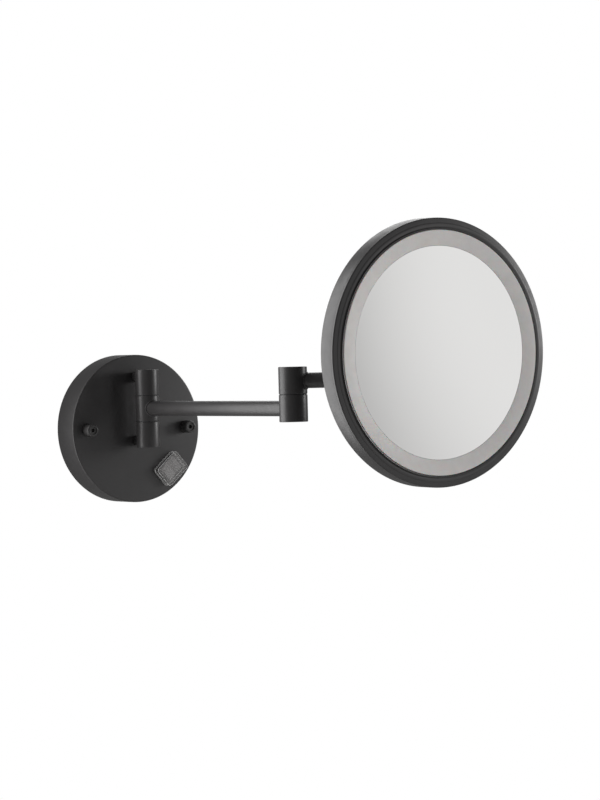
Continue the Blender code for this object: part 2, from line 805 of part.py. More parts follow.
def make_back_shell(head, rim):
    """The shallow pan that forms the head's back and side wall."""
    back = -HEAD_DEPTH
    floor = back + HEAD_FLOOR
    inside = HEAD_RADIUS - COVER_WALL
    outline = [
        (0.0, back),
        (HEAD_RADIUS - 0.9, back),
        (HEAD_RADIUS - 0.25, back + 0.25),
        (HEAD_RADIUS, back + 0.9),
        (HEAD_RADIUS, SHELL_FRONT),
        (inside, SHELL_FRONT),
        (inside, floor + 1.2),
        (inside - 1.2, floor),
        (0.0, floor),
    ]
    shell = turned("back_shell", outline, head, rim, FORWARD, bronze(), LARGE)
    drill(shell, HEAD_HOLE, back - CLEAR, floor + CLEAR, (0, rim[1], HEAD_LEAD_Z), FORWARD)


def make_bezel(head, rim):
    """The front ring: a gently sloped band, a groove and a bead, with a skirt inside the shell."""
    skirt = HEAD_RADIUS - COVER_WALL - GAP
    band_back = SHELL_FRONT + GAP
    under = -1.4
    over_ring = GLASS_FRONT + GAP
    outline = [
        (RING_OUTER, over_ring),
        (RING_OUTER, over_ring + 1.2),
        (94.4, over_ring + 1.9),
        (95.6, over_ring + 1.3),
        (96.6, 1.0),
        (97.2, 1.3),
        (100.4, 0.6),
        (HEAD_RADIUS, -0.5),
        (HEAD_RADIUS, band_back),
        (skirt, band_back),
        (skirt, BEZEL_SKIRT),
        (BEZEL_INSIDE, BEZEL_SKIRT),
        (BEZEL_INSIDE, under),
        (RING_HIDDEN + 0.4, under),
        (RING_HIDDEN + 0.4, over_ring),
    ]
    turned("bezel_rim", outline, head, rim, FORWARD, bronze(), LARGE)


def make_mirror(head, rim):
    """The magnifying mirror: a shallow dished glass."""
    edge = MIRROR_RADIUS - 0.2
    rings = 4
    front = []
    for ring in range(rings + 1):
        radius = edge * ring / rings
        depth = MIRROR_SAG * (1 - (radius / edge) ** 2)
        front.append((radius, GLASS_FRONT - depth))
    back = [(radius, height - GLASS_THICKNESS) for radius, height in reversed(front)]
    turned("mirror_glass", front + back, head, rim, FORWARD, mirror_silver(), 48)


def make_ring_light(head, rim):
    """The frosted ring and, behind it, the lamp board, the mirror's seat and their carrier plate."""
    ring_back = GLASS_FRONT - RING_THICKNESS
    ring = ring_outline(MIRROR_RADIUS + 0.2, RING_HIDDEN, ring_back, GLASS_FRONT)
    turned("diffuser_ring", ring, head, rim, FORWARD, frosted_acrylic(), LARGE)
    board = ring_outline(83.4, 92.0, BOARD_BACK, BOARD_BACK + 1.6)
    turned("led_board", board, head, rim, FORWARD, board_white(), 48)
    seat = ring_outline(75.0, 80.0, BOARD_BACK, SEAT_TOP)
    turned("mirror_seat", seat, head, rim, FORWARD, white_plastic(), 48)
    back = CARRIER_FRONT - CARRIER_THICKNESS
    carrier = ring_outline(0.0, 95.0, back, CARRIER_FRONT)
    plate = turned("carrier_plate", carrier, head, rim, FORWARD, aluminium(), 48)
    hole = (0, rim[1], HEAD_LEAD_LOW)
    drill(plate, 1.5, back - CLEAR, CARRIER_FRONT + CLEAR, hole, FORWARD, 12)


def make_head_lead(head, rim):
    """The grommet in the head's back and the lead from it to the lamp board."""
    back = -HEAD_DEPTH
    grommet = [
        (1.3, back - 1.5),
        (4.3, back - 1.5),
        (4.6, back - 1.1),
        (4.6, back - GAP),
        (HEAD_HOLE - GAP, back - GAP),
        (HEAD_HOLE - GAP, back + 1.6),
        (1.3, back + 1.6),
    ]
    turned("head_grommet", grommet, head, (0, rim[1], HEAD_LEAD_Z), FORWARD, black_rubber(), SMALL)
    run = rim[1] + 10.95
    points = [
        (0.0, run + 4.0, HEAD_LEAD_Z),
        (0.0, run + 2.0, HEAD_LEAD_Z),
        (0.0, run + 0.5, HEAD_LEAD_Z - 0.4),
        (0.0, run, HEAD_LEAD_Z - 1.8),
        (0.0, run, HEAD_LEAD_Z - 6.0),
        (0.0, run, -60.0),
        (0.0, run, HEAD_LEAD_LOW + 3.6),
        (0.0, run - 0.5, HEAD_LEAD_LOW + 0.6),
        (0.0, run - 1.6, HEAD_LEAD_LOW),
        (0.0, run - 4.2, HEAD_LEAD_LOW),
    ]
    lead("head_lead", points, HEAD_LEAD_RADIUS, head)


def make_switch(mouth):
    """The rocker switch's housing and its two blades."""
    flange = (SWITCH_LENGTH, SWITCH_FLANGE, SWITCH_WIDTH)
    place = (0, -GAP - SWITCH_FLANGE / 2, 0)
    housing = block("switch_housing", flange, mouth, place, UPRIGHT, nylon(), 0.5, 1)
    start = -GAP - SWITCH_FLANGE / 2
    body = (SWITCH_BODY_LENGTH, SWITCH_BODY_DEPTH - start, SWITCH_BODY_WIDTH)
    place = (0, (SWITCH_BODY_DEPTH + start) / 2, 0)
    join(housing, block("switch_body", body, mouth, place, UPRIGHT, None))
    length = ROCKER_LENGTH + WELL_SPARE_LENGTH
    start = -GAP - SWITCH_FLANGE - CLEAR
    well = (length, SWITCH_WELL_DEPTH - start, ROCKER_WIDTH + WELL_SPARE_WIDTH)
    place = (0, (SWITCH_WELL_DEPTH + start) / 2, 0)
    cut(housing, block("switch_well", well, mouth, place, UPRIGHT, None))
    back = SWITCH_BODY_DEPTH + GAP + BLADE_SIZE[1] / 2
    for side, word in ((-1, "a"), (1, "b")):
        place = (side * BLADE_X, back, 0)
        block(f"switch_blade_{word}", BLADE_SIZE, mouth, place, UPRIGHT, brass())


def make_boot(mouth):
    """The clear moulded boot over the rocker, open at its back."""
    size = (BOOT_LENGTH, BOOT_HEIGHT, BOOT_WIDTH)
    place = (0, -GAP - BOOT_HEIGHT / 2, 0)
    boot = block("switch_boot", size, mouth, place, UPRIGHT, clear_silicone(), BOOT_ROUND, 3)
    top = -GAP - BOOT_HEIGHT + BOOT_WALL
    inside = (BOOT_LENGTH - 2 * BOOT_WALL, CLEAR - top, BOOT_WIDTH - 2 * BOOT_WALL)
    place = (0, (CLEAR + top) / 2, 0)
    cut(boot, block("boot_inside", inside, mouth, place, UPRIGHT, None, 0.6, 2))


def make_rocker(rocker):
    """The rocker, shallow V on top, resting tipped to one side on its cross axis."""
    shape = bmesh.new()
    half = ROCKER_LENGTH / 2
    outline = [(-half, 2.4), (-half, -4.4), (0.0, -3.4), (half, -4.4), (half, 2.4), (0.0, 3.6)]
    low = [shape.verts.new((x * MM, y * MM, -ROCKER_WIDTH / 2 * MM)) for x, y in outline]
    high = [shape.verts.new((x * MM, y * MM, ROCKER_WIDTH / 2 * MM)) for x, y in outline]
    shape.faces.new(low)
    shape.faces.new(high)
    for index in range(len(outline)):
        after = (index + 1) % len(outline)
        shape.faces.new((low[index], low[after], high[after], high[index]))
    bmesh.ops.recalc_face_normals(shape, faces=shape.faces)
    bmesh.ops.bevel(shape, geom=shape.edges, offset=0.35 * MM, segments=2, profile=0.5, affect="EDGES")
    mesh = bpy.data.meshes.new("switch_rocker")
    shape.to_mesh(mesh)
    shape.free()
    turn = (0, 0, math.radians(ROCKER_REST))
    finish("switch_rocker", mesh, rocker, (0, 0, 0), turn, grey_plastic())


def build():
    clear_scene()
    wall = frame("wall_frame", None, (0, 0, 0))
    post = (0, -POST_OUT, POST_HEIGHT)
    arm_one = frame("wall_swivel_axis", wall, post, ARM_ONE_TURN)
    arm_two = frame("elbow_swivel_axis", arm_one, (ARM_ONE, 0, ARM_STEP), ARM_TWO_TURN)
    swivel = frame("head_swivel_axis", arm_two, (ARM_TWO, 0, 0), HEAD_TURN)
    head = frame("head_tilt_axis", swivel, (0, -TILT_OUT, HEAD_RISE))
    head.rotation_euler.x = math.radians(HEAD_DROOP)
    mouth = frame("switch_mouth", wall, (SWITCH_X, -PLATE_DEPTH, SWITCH_Z))
    mouth.rotation_euler = (0.0, -math.radians(SWITCH_TURN), 0.0)
    rocker = frame("switch_rocker_axis", mouth, (0, ROCKER_AXIS_DEPTH, 0))

    make_wall_bracket(wall)
    make_gasket(wall)
    make_cable_grommet(wall)
    make_cover(wall)
    make_cover_fixings(wall)
    make_driver(wall)
    make_wall_knuckles(wall, post)
    make_wall_lead(wall)
    make_switch(mouth)
    make_boot(mouth)
    make_rocker(rocker)

    make_arm_one(arm_one)
    make_arm_one_lead(arm_one)
    make_arm_two(arm_two)
    make_arm_two_lead(arm_two)
    make_swivel(swivel)

    rim = (0, TILT_OUT - RIM_OUT, 0)
    make_tilt_bracket(head)
    make_back_shell(head, rim)
    make_bezel(head, rim)
    make_mirror(head, rim)
    make_ring_light(head, rim)
    make_head_lead(head, rim)


build()
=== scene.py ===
"""The looks of the extendable shaving mirror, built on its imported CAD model.

Lengths are in millimetres and MM turns them into metres. Each piece is made in the local frame of
the body it rides on, and those frames come from the CAD model's joints.
"""

import json
import math

import bmesh
import bpy
from mathutils import Matrix, Vector


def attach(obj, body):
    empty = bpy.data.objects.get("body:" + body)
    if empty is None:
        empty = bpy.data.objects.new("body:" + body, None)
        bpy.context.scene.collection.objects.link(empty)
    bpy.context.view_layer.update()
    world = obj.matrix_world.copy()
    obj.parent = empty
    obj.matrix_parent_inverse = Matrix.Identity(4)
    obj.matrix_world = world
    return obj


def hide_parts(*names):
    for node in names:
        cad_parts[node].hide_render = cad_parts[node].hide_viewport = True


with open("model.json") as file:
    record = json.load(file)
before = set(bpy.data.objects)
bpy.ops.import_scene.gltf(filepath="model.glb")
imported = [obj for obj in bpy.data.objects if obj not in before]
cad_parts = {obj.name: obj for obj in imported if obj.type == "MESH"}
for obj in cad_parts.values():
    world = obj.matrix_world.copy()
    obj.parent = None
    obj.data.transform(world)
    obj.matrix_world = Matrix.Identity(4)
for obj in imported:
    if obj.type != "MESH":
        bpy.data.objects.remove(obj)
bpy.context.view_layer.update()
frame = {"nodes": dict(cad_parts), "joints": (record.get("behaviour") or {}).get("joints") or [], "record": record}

MM = 0.001
GAP = 0.3

# Sides of a very large, a large, a middling and a small round, and of a hexagon
HUGE = 288
LARGE = 128
MIDDLE = 72
SMALL = 40
HEXAGON = 6

# Steps in the arc that rounds a corner of an outline
CORNER_STEPS = 5

# How far a drill runs past the surfaces that it goes through
CUT_SPARE = 3.0

# Whatever is smaller than this counts as nothing
TINY = 1e-6

# Wall plate; a drill is given by the distances from the wall at which it starts and ends
PLATE_RADIUS = 60.5
PLATE_DEPTH = 25.4
COVER_WALL = 1.8
COVER_FACE = 2.0
COVER_REAR = 0.7
COVER_ROUND = 1.1
COVER_FILLET = 0.8
COVER_DRILL = (15.0, 30.0)
GASKET_INSIDE = 56.5
GASKET_THICKNESS = 0.4
BRACKET_RADIUS = 53.0
BRACKET_THICKNESS = 2.0
BRACKET_DRILL = (-1.0, 4.0)
FIXING_X = 46.9
STUD_RADIUS = 2.0
CAP_NUT_RADIUS = 5.1
CAP_NUT_HEIGHT = 9.0
CAP_NUT_END = 4.5
CAP_NUT_ROUND = 1.1
CAP_NUT_RIM = 3.3
CAP_NUT_DISH_RADIUS = 3.0
CAP_NUT_DISH_DEPTH = 0.8
CAP_NUT_SOCKET = 1.8
CAP_NUT_SOCKET_FLOOR = 1.5
WALL_SCREW_SPREAD = 30.0
WALL_SLOT_LENGTH = 9.0
WALL_SLOT_WIDTH = 4.6
CABLE_ENTRY_Z = -26.0
CABLE_ENTRY_RADIUS = 5.6
CABLE_BUSH_BORE = 2.6
CABLE_BUSH_LIP_RADIUS = 7.2
CABLE_BUSH_LIP = 1.3

# Post, elbow and head barrels, heights counted from the axis of the arm that enters each
POST_RADIUS = 9.55
KNUCKLE_PITCH = 21.2
SEAM = 1.0
SEAM_SHOWN = 0.5
UPPER_KNUCKLE_FLOOR = 18.0
LOWER_KNUCKLE_FLOOR = -21.5
NECK_OFFSET = 26.0
NECK_WIDTH = 9.0
NECK_HEIGHT = 7.8
NECK_ROUND = 1.6
NECK_START = 8.2
SPIGOT_RADIUS = 3.8
SPIGOT_BACK = 17.0
SPIGOT_OVERLAP = 2.0
SPIGOT_BORE = 1.7
SPIGOT_BORE_BACK = 10.0
SPIGOT_BORE_START = 5.0
ELBOW_RADIUS = 11.0
ELBOW_BOTTOM = -10.2
ELBOW_SEAM = 10.4
ELBOW_TOP = 32.0
SWIVEL_RADIUS = 10.5
SWIVEL_BOTTOM = -10.6
SWIVEL_SEAM = 9.0
SWIVEL_TOP = 28.0
LOWER_FLOOR = -6.9
UPPER_FLOOR = 3.0
PIN_BORE = 4.3
BARREL_ROUND = 0.45
WASHER_INSET = 0.55
WASHER_AIR = 0.02
END_WALL = 0.65
END_STEP = 1.95
END_WELL = 1.8
END_CAP = 1.2

# Arms
TUBE_RADIUS = 6.0
TUBE_BORE = 5.0
SOCKET_START = 5.6
SOCKET_END = 15.0
UPPER_SOCKET_START = 6.0
ARM_TWO_TUBE_START = 9.2
LEAD_HOLE = 1.8
LEAD_HOLE_START = 1.0
LEAD_HOLE_END = 7.0
ARM_STEP = 21.3
ROOT_BEAD = 0.6
ROOT_BEAD_LIFT = 0.24

# Head, heights counted forward from the plane of its rim
RIM_AHEAD = 23.4
HEAD_DROOP = 0.86
TILT_KNUCKLE = 6.3
TILT_KNUCKLE_HALF = 3.6
TILT_NECK_START = 9.0
TILT_NECK_HEIGHT = 9.0
TILT_NECK_ROUND = 0.6
TILT_EAR = 5.0
EAR_ROOT_OVERLAP = 1.0
EAR_ROOT_INSET = 0.2
TILT_WASHER = 0.5
TILT_WASHER_INSET = 0.8
TILT_PIN_RADIUS = 2.0
TILT_PIN_HEAD_RADIUS = 4.0
TILT_PIN_HEAD = 2.0
TILT_PIN_END = 3.4
TILT_PIN_SOCKET = 1.4
TILT_PIN_SOCKET_DEPTH = 1.1
TILT_NUT_RADIUS = 4.2
TILT_NUT_HEIGHT = 2.6
TILT_NUT_CROWN = 4.35
TILT_NUT_CROWN_END = 3.75
TILT_NUT_CROWN_REACH = 1.0
BRACKET_PLATE_RADIUS = 20.0
BRACKET_SCREW_X = 14.0
BRACKET_SCREW_Z = 7.0
BRACKET_SCREW_RADIUS = 2.5
BRACKET_SCREW_HEAD = 1.7
BRACKET_SCREW_SEAT = 0.05
BRACKET_SCREW_CROSS = (2.6, 0.6, 1.4)
BRACKET_SCREW_TWIST = 20.0
HEAD_RADIUS = 101.5
HEAD_DEPTH = 14.4
HEAD_FLOOR = 1.3
BEZEL_BACK = -1.6
SHELL_SEAM = 0.12
LIP_RADIUS = 92.6
LIP_EDGE_TOP = 1.9
LIP_CREST = 93.7
LIP_TOP = 2.3
GROOVE_INSIDE = 94.0
GROOVE_TOP = 1.1
RIM_BEAD_CENTRE = (95.8, -5.0)
RIM_BEAD_RADIUS = 6.4
RIM_BEAD_SPREAD = (104.5, 75.5)
RIM_BEAD_STEPS = 8
BAND_INSIDE = 97.7
BAND_TOP = 1.0
BAND_EDGE_TOP = 0.6
BAND_ROUND = 0.9
SKIRT_END = -6.0
SKIRT_INSIDE = 97.6
FLANGE_SEAT = -1.4
FLANGE_SEAT_RADIUS = 95.2
RING_INSIDE = 80.6
RING_EDGE = 92.3
RING_OUTER = 94.8
RING_STEP = 0.6
RING_FRONT = 2.4
RING_BACK = -1.3
RING_PROUD = 0.1
MIRROR_RADIUS = 80.4
MIRROR_SAG = 3.0
MIRROR_RINGS = 24
GLASS_FRONT = 0.3
GLASS_THICKNESS = 2.1
BOARD_FRONT = -6.3
LAMP_COUNT = 60
LAMP_CIRCLE = 87.7
LAMP_SIZE = (2.8, 3.5, 0.8)
LAMP_MIDDLE = 0.45
LAMP_ROUND = 0.12
HEAD_LEAD_Z = -35.0
HEAD_LEAD_HOLE = 3.3
HEAD_BUSH_BORE = 1.3
HEAD_BUSH_LIP_RADIUS = 4.6
HEAD_BUSH_LIP = 1.5

# Rocker switch
SWITCH_LENGTH = 20.6
SWITCH_WIDTH = 16.4
SWITCH_FLANGE = 1.5
SWITCH_EDGE = 0.5
SWITCH_WINDOW_DEPTH = 12.0
SWITCH_BODY_LENGTH = 18.6
SWITCH_BODY_WIDTH = 15.2
SWITCH_BODY_DEPTH = 14.0
SWITCH_WELL_DEPTH = 7.0
WELL_SPARE = 0.8
WELL_CUT_AHEAD = 2.0
ROCKER_LENGTH = 17.2
ROCKER_WIDTH = 13.4
ROCKER_END_TOP = -4.4
ROCKER_MIDDLE_TOP = -3.4
ROCKER_END_UNDER = 2.4
ROCKER_MIDDLE_UNDER = 3.6
ROCKER_ROUND = 0.45
ROCKER_REST = 8.0
ROCKER_AXIS_DEPTH = 1.0
BOOT_LENGTH = 24.4
BOOT_WIDTH = 18.8
BOOT_HEIGHT = 5.6
BOOT_WALL = 0.9
BOOT_ROUND = 0.15
BOOT_INSIDE_ROUND = 0.5
BOOT_CORNER = 2.8
BOOT_CUT_BACK = 2.0

# Camera: place in metres, then its turn to the right, dip and roll in degrees
CAMERA_PLACE = (-1.4625, -2.3934, 0.0617)
CAMERA_TURN = 34.47
CAMERA_DIP = 0.86
CAMERA_ROLL = 1.44
CAMERA_LENS = 152.5
CAMERA_SENSOR = 36.0

# Floor: its place in metres, then its radius, thickness and rounding in millimetres
FLOOR_PLACE = (0.0, -0.2, -0.85)
FLOOR_RADIUS = 1600.0
FLOOR_THICKNESS = 8.0
FLOOR_ROUND = 4.0

# Studio: brightness, and the place and spread of its glow in degrees
STUDIO_DIM = 0.22
STUDIO_GLOW = 0.80
GLOW_CENTRE = (22.5, -13.5)
GLOW_INNER = 18.0
GLOW_OUTER = 36.0

# Turns that lay a piece's own +Z along another direction
FORWARD = Matrix.Rotation(math.pi / 2, 4, "X")
SIDEWAYS = Matrix.Rotation(math.pi / 2, 4, "Y")
UP = Vector((0, 0, 1))

JOINTS = {joint["name"]: joint for joint in frame["joints"]}
SLOT_OF = {part["node"]: part["material_slot"] for part in frame["record"]["subparts"]}
BODY_OF = {
    node: body
    for body, nodes in frame["record"]["behaviour"]["bodies"].items()
    for node in nodes
}


# ---------------------------------------------------------------- local frames


def joint_point(name):
    return Vector(JOINTS[name]["pos_m"])


def shifted(place, x=0.0, y=0.0, z=0.0):
    """The same frame moved by millimetres along its own axes."""
    return place @ Matrix.Translation(Vector((x, y, z)) * MM)


def frame_along(origin, direction):
    """A frame whose +X is the level part of direction and whose +Z is up."""
    x_axis = Vector((direction.x, direction.y, 0)).normalized()
    turn = Matrix((x_axis, UP.cross(x_axis), UP)).transposed()
    return Matrix.Translation(origin) @ turn.to_4x4()


def frame_from_to(start, end):
    """A frame on one joint whose +X runs to another."""
    return frame_along(joint_point(start), joint_point(end) - joint_point(start))


def arm_length(start, end):
    span = joint_point(end) - joint_point(start)
    return Vector((span.x, span.y)).length / MM


def switch_frame():
    """The mouth of the switch on the cover's face, +X along the rocker and -Y out of the face."""
    rocker = JOINTS["switch_rock"]
    across = Vector(rocker["axis"])
    forward = Vector((0, -1, 0))
    along = forward.cross(across)
    turn = Matrix((along, -forward, -across)).transposed()
    origin = Vector(rocker["pos_m"]) + forward * ROCKER_AXIS_DEPTH * MM
    return Matrix.Translation(origin) @ turn.to_4x4()


WALL = Matrix.Identity(4)
POST = Matrix.Translation(joint_point("wall_swivel"))
ARM_ONE = frame_from_to("wall_swivel", "elbow_swivel")
ARM_TWO = frame_from_to("elbow_swivel", "head_swivel")
SWIVEL = frame_along(joint_point("head_swivel"), Vector(JOINTS["head_tilt"]["axis"]))
TILT = frame_along(joint_point("head_tilt"), Vector(JOINTS["head_tilt"]["axis"]))
HEAD = TILT @ Matrix.Rotation(math.radians(HEAD_DROOP), 4, "X")
RIM = shifted(HEAD, y=-RIM_AHEAD) @ FORWARD
MOUTH = switch_frame()
ARM_ONE_LENGTH = arm_length("wall_swivel", "elbow_swivel")
ARM_TWO_LENGTH = arm_length("elbow_swivel", "head_swivel")


# ---------------------------------------------------------------- mesh tools


def made_from(name, shape):
    """Turns a bmesh into an object with its faces pointing out and its shading split at corners."""
    bmesh.ops.recalc_face_normals(shape, faces=shape.faces)
    mesh = bpy.data.meshes.new(name)
    shape.to_mesh(mesh)
    shape.free()
    piece = bpy.data.objects.new(name, mesh)
    bpy.context.scene.collection.objects.link(piece)
    shade(piece)
    return piece


def shade(piece, angle=32.0):
    piece.data.shade_smooth()
    piece.data.set_sharp_from_angle(angle=math.radians(angle))


def rounded(outline):
    """Replaces each outline corner that has a third number by an arc of that radius."""
    points = []
    count = len(outline)
    for index, corner in enumerate(outline):
        here = Vector(corner[:2])
        if len(corner) == 2:
            points.append(here)
            continue
        radius = corner[2]
        before = (Vector(outline[index - 1][:2]) - here).normalized()
        after = (Vector(outline[(index + 1) % count][:2]) - here).normalized()
        half = math.acos(max(-1.0, min(1.0, before.dot(after)))) / 2
        centre = here + (before + after).normalized() * radius / math.sin(half)
        start = here + before * radius / math.tan(half) - centre
        end = here + after * radius / math.tan(half) - centre
        for step in range(CORNER_STEPS + 1):
            spoke = start.lerp(end, step / CORNER_STEPS).normalized() * radius
            points.append(centre + spoke)
    return points


def ring_outline(inner, outer, low, high, edge=0.0):
    """Rectangle between two radii and two heights, its outer corners rounded by edge."""
    if edge == 0.0:
        return [(inner, low), (outer, low), (outer, high), (inner, high)]
    return [(inner, low), (outer, low, edge), (outer, high, edge), (inner, high)]


def turned(name, outline, place, steps=LARGE):
    """A closed outline of (radius, height, corner radius) spun about the place's +Z."""
    shape = bmesh.new()
    rings = []
    for radius, height in rounded(outline):
        sides = 1 if radius < TINY else steps
        ring = []
        for side in range(sides):
            angle = 2 * math.pi * side / steps
            point = Vector((radius * math.cos(angle), radius * math.sin(angle), height)) * MM
            ring.append(shape.verts.new(place @ point))
        rings.append(ring)
    for ring, after in zip(rings, rings[1:] + rings[:1]):
        if len(ring) == 1 and len(after) == 1:
            continue
        for side in range(steps):
            corners = [ring[side % len(ring)], ring[(side + 1) % len(ring)]]
            corners += [after[(side + 1) % len(after)], after[side % len(after)]]
            shape.faces.new(list(dict.fromkeys(corners)))
    return made_from(name, shape)


def box_shape(size):
    """A box around the origin."""
    shape = bmesh.new()
    bmesh.ops.create_cube(shape, size=1.0)
    for vertex in shape.verts:
        vertex.co = Vector(a * b for a, b in zip(vertex.co, size)) * MM
    return shape


def bevel_edges(shape, edges, radius, steps):
    offset = radius * MM
    bmesh.ops.bevel(shape, geom=edges, offset=offset, segments=steps, profile=0.5, affect="EDGES")


def block(name, size, place, edge=0.0, steps=4):
    """A box centred on the place, its edges rounded if a radius is given."""
    shape = box_shape(size)
    if edge > 0.0:
        bevel_edges(shape, shape.edges, edge, steps)
    shape.transform(place)
    return made_from(name, shape)


def combine(piece, other, operation):
    """Applies an exact Boolean of other to the piece and removes other."""
    modifier = piece.modifiers.new("combine", "BOOLEAN")
    modifier.object = other
    modifier.operation = operation
    bpy.context.view_layer.update()
    depsgraph = bpy.context.evaluated_depsgraph_get()
    mesh = bpy.data.meshes.new_from_object(piece.evaluated_get(depsgraph))
    piece.modifiers.clear()
    mesh.materials.clear()
    piece.data = mesh
    bpy.data.objects.remove(other, do_unlink=True)
    shade(piece)
    return piece


def cut(piece, other):
    return combine(piece, other, "DIFFERENCE")


def join(piece, other):
    return combine(piece, other, "UNION")


def drill(piece, radius, low, high, place, steps=MIDDLE):
    """Cuts a hole from one height to another along the place's +Z, with six steps a hexagon."""
    return cut(piece, turned("drill", ring_outline(0.0, radius, low, high), place, steps))


# ---------------------------------------------------------------- materials


class Finish:
    """A Principled material with helpers for its textures, which lie on the object's own space."""

    def __init__(self, name, colour, roughness, metallic=0.0, **settings):
        self.material = bpy.data.materials.new(name)
        self.material.use_nodes = True
        self.nodes = self.material.node_tree.nodes
        self.links = self.material.node_tree.links
        self.shader = self.nodes["Principled BSDF"]
        self.space = self.nodes.new("ShaderNodeTexCoord").outputs["Object"]
        self.base = colour
        self.set("Base Color", (*colour, 1.0))
        self.set("Roughness", roughness)
        self.set("Metallic", metallic)
        for socket, value in settings.items():
            self.set(socket.replace("_", " "), value)

    def set(self, socket, value):
        self.shader.inputs[socket].default_value = value

    def stretched(self, x, y, z):
        """Object space stretched along its axes, for brushed and drawn grain."""
        mapping = self.nodes.new("ShaderNodeMapping")
        mapping.inputs["Scale"].default_value = (x, y, z)
        self.links.new(self.space, mapping.inputs["Vector"])
        return mapping.outputs["Vector"]

    def noise(self, scale, detail, vector=None):
        node = self.nodes.new("ShaderNodeTexNoise")
        node.inputs["Scale"].default_value = scale
        node.inputs["Detail"].default_value = detail
        self.links.new(vector or self.space, node.inputs["Vector"])
        return node.outputs["Fac"]

    def between(self, fac, low, high, start=0.3, end=0.7):
        """Maps a texture's middle range to a range of values."""
        node = self.nodes.new("ShaderNodeMapRange")
        node.inputs["From Min"].default_value = start
        node.inputs["From Max"].default_value = end
        node.inputs["To Min"].default_value = low
        node.inputs["To Max"].default_value = high
        self.links.new(fac, node.inputs["Value"])
        return node.outputs["Result"]

    def roughen(self, fac, low, high):
        self.links.new(self.between(fac, low, high), self.shader.inputs["Roughness"])

    def mixed(self, fac, first, second):
        """A colour between two colours or sockets."""
        node = self.nodes.new("ShaderNodeMix")
        node.data_type = "RGBA"
        self.links.new(fac, node.inputs["Factor"])
        for socket, colour in ((node.inputs["A"], first), (node.inputs["B"], second)):
            if isinstance(colour, bpy.types.NodeSocket):
                self.links.new(colour, socket)
            else:
                socket.default_value = (*colour, 1.0)
        return node.outputs["Result"]

    def tint(self, fac, spread):
        """Colour that wanders a little darker and lighter than the base."""
        dark = [channel * (1 - spread) for channel in self.base]
        light = [channel * (1 + spread) for channel in self.base]
        colour = self.mixed(self.between(fac, 0.0, 1.0), dark, light)
        self.links.new(colour, self.shader.inputs["Base Color"])
        return colour

    def relief(self, height, depth):
        """Bump of a depth in millimetres."""
        node = self.nodes.new("ShaderNodeBump")
        node.inputs["Distance"].default_value = depth * MM
        self.links.new(height, node.inputs["Height"])
        self.links.new(node.outputs["Normal"], self.shader.inputs["Normal"])

    def edges(self, width, amount):
        """Rises from 0 away from the shape's edges to the amount on them."""
        bevel = self.nodes.new("ShaderNodeBevel")
        bevel.samples = 4
        bevel.inputs["Radius"].default_value = width * MM
        geometry = self.nodes.new("ShaderNodeNewGeometry")
        dot = self.nodes.new("ShaderNodeVectorMath")
        dot.operation = "DOT_PRODUCT"
        self.links.new(bevel.outputs["Normal"], dot.inputs[0])
        self.links.new(geometry.outputs["Normal"], dot.inputs[1])
        return self.between(dot.outputs["Value"], amount, 0.0, start=0.86, end=0.985)

    def worn_edges(self, colour, worn, width=0.5, amount=0.5):
        """Rubs the finish thinner along edges, broken up by a fine noise."""
        broken = self.nodes.new("ShaderNodeMath")
        broken.operation = "MULTIPLY"
        self.links.new(self.edges(width, amount), broken.inputs[0])
        self.links.new(self.between(self.noise(900, 4), 0.2, 1.0), broken.inputs[1])
        mixed = self.mixed(broken.outputs["Value"], colour, worn)
        self.links.new(mixed, self.shader.inputs["Base Color"])


def bronze():
    """Dark bronze lacquer over brass: satin, with a fine sprayed grain and slightly rubbed edges."""
    finish = Finish("bronze", (0.038, 0.0362, 0.0368), 0.38, 0.15)
    colour = finish.tint(finish.noise(28, 4), 0.10)
    finish.worn_edges(colour, (0.11, 0.095, 0.085), amount=0.35)
    finish.roughen(finish.noise(160, 5), 0.35, 0.43)
    finish.relief(finish.noise(3200, 2), 0.012)
    return finish.material


def brushed_steel():
    finish = Finish("brushed_steel", (0.52, 0.52, 0.53), 0.32, 1.0)
    grain = finish.noise(60, 4, finish.stretched(1, 8, 40))
    finish.worn_edges(finish.tint(grain, 0.10), (0.72, 0.72, 0.73))
    finish.roughen(grain, 0.24, 0.42)
    finish.relief(grain, 0.01)
    return finish.material


def brass():
    finish = Finish("brass", (0.68, 0.48, 0.22), 0.3, 1.0)
    grain = finish.noise(90, 4, finish.stretched(1, 1, 30))
    finish.worn_edges(finish.tint(finish.noise(120, 4), 0.12), (0.86, 0.68, 0.36))
    finish.roughen(grain, 0.22, 0.40)
    finish.relief(grain, 0.01)
    return finish.material


def aluminium():
    finish = Finish("aluminium", (0.70, 0.70, 0.71), 0.4, 1.0)
    grain = finish.noise(50, 4, finish.stretched(1, 1, 30))
    finish.tint(grain, 0.06)
    finish.roughen(grain, 0.32, 0.48)
    finish.relief(grain, 0.008)
    return finish.material


def nylon():
    finish = Finish("nylon", (0.028, 0.028, 0.030), 0.5)
    finish.worn_edges(finish.tint(finish.noise(200, 3), 0.15), (0.075, 0.075, 0.078))
    finish.roughen(finish.noise(500, 4), 0.44, 0.60)
    finish.relief(finish.noise(2600, 2), 0.02)
    return finish.material


def black_rubber():
    finish = Finish("black_rubber", (0.018, 0.018, 0.018), 0.75)
    finish.tint(finish.noise(150, 4), 0.25)
    finish.roughen(finish.noise(700, 4), 0.66, 0.85)
    finish.relief(finish.noise(1800, 3), 0.03)
    return finish.material


def white_plastic():
    finish = Finish("white_plastic", (0.76, 0.76, 0.73), 0.4)
    finish.tint(finish.noise(90, 3), 0.03)
    finish.roughen(finish.noise(400, 4), 0.34, 0.48)
    finish.relief(finish.noise(2200, 2), 0.015)
    return finish.material


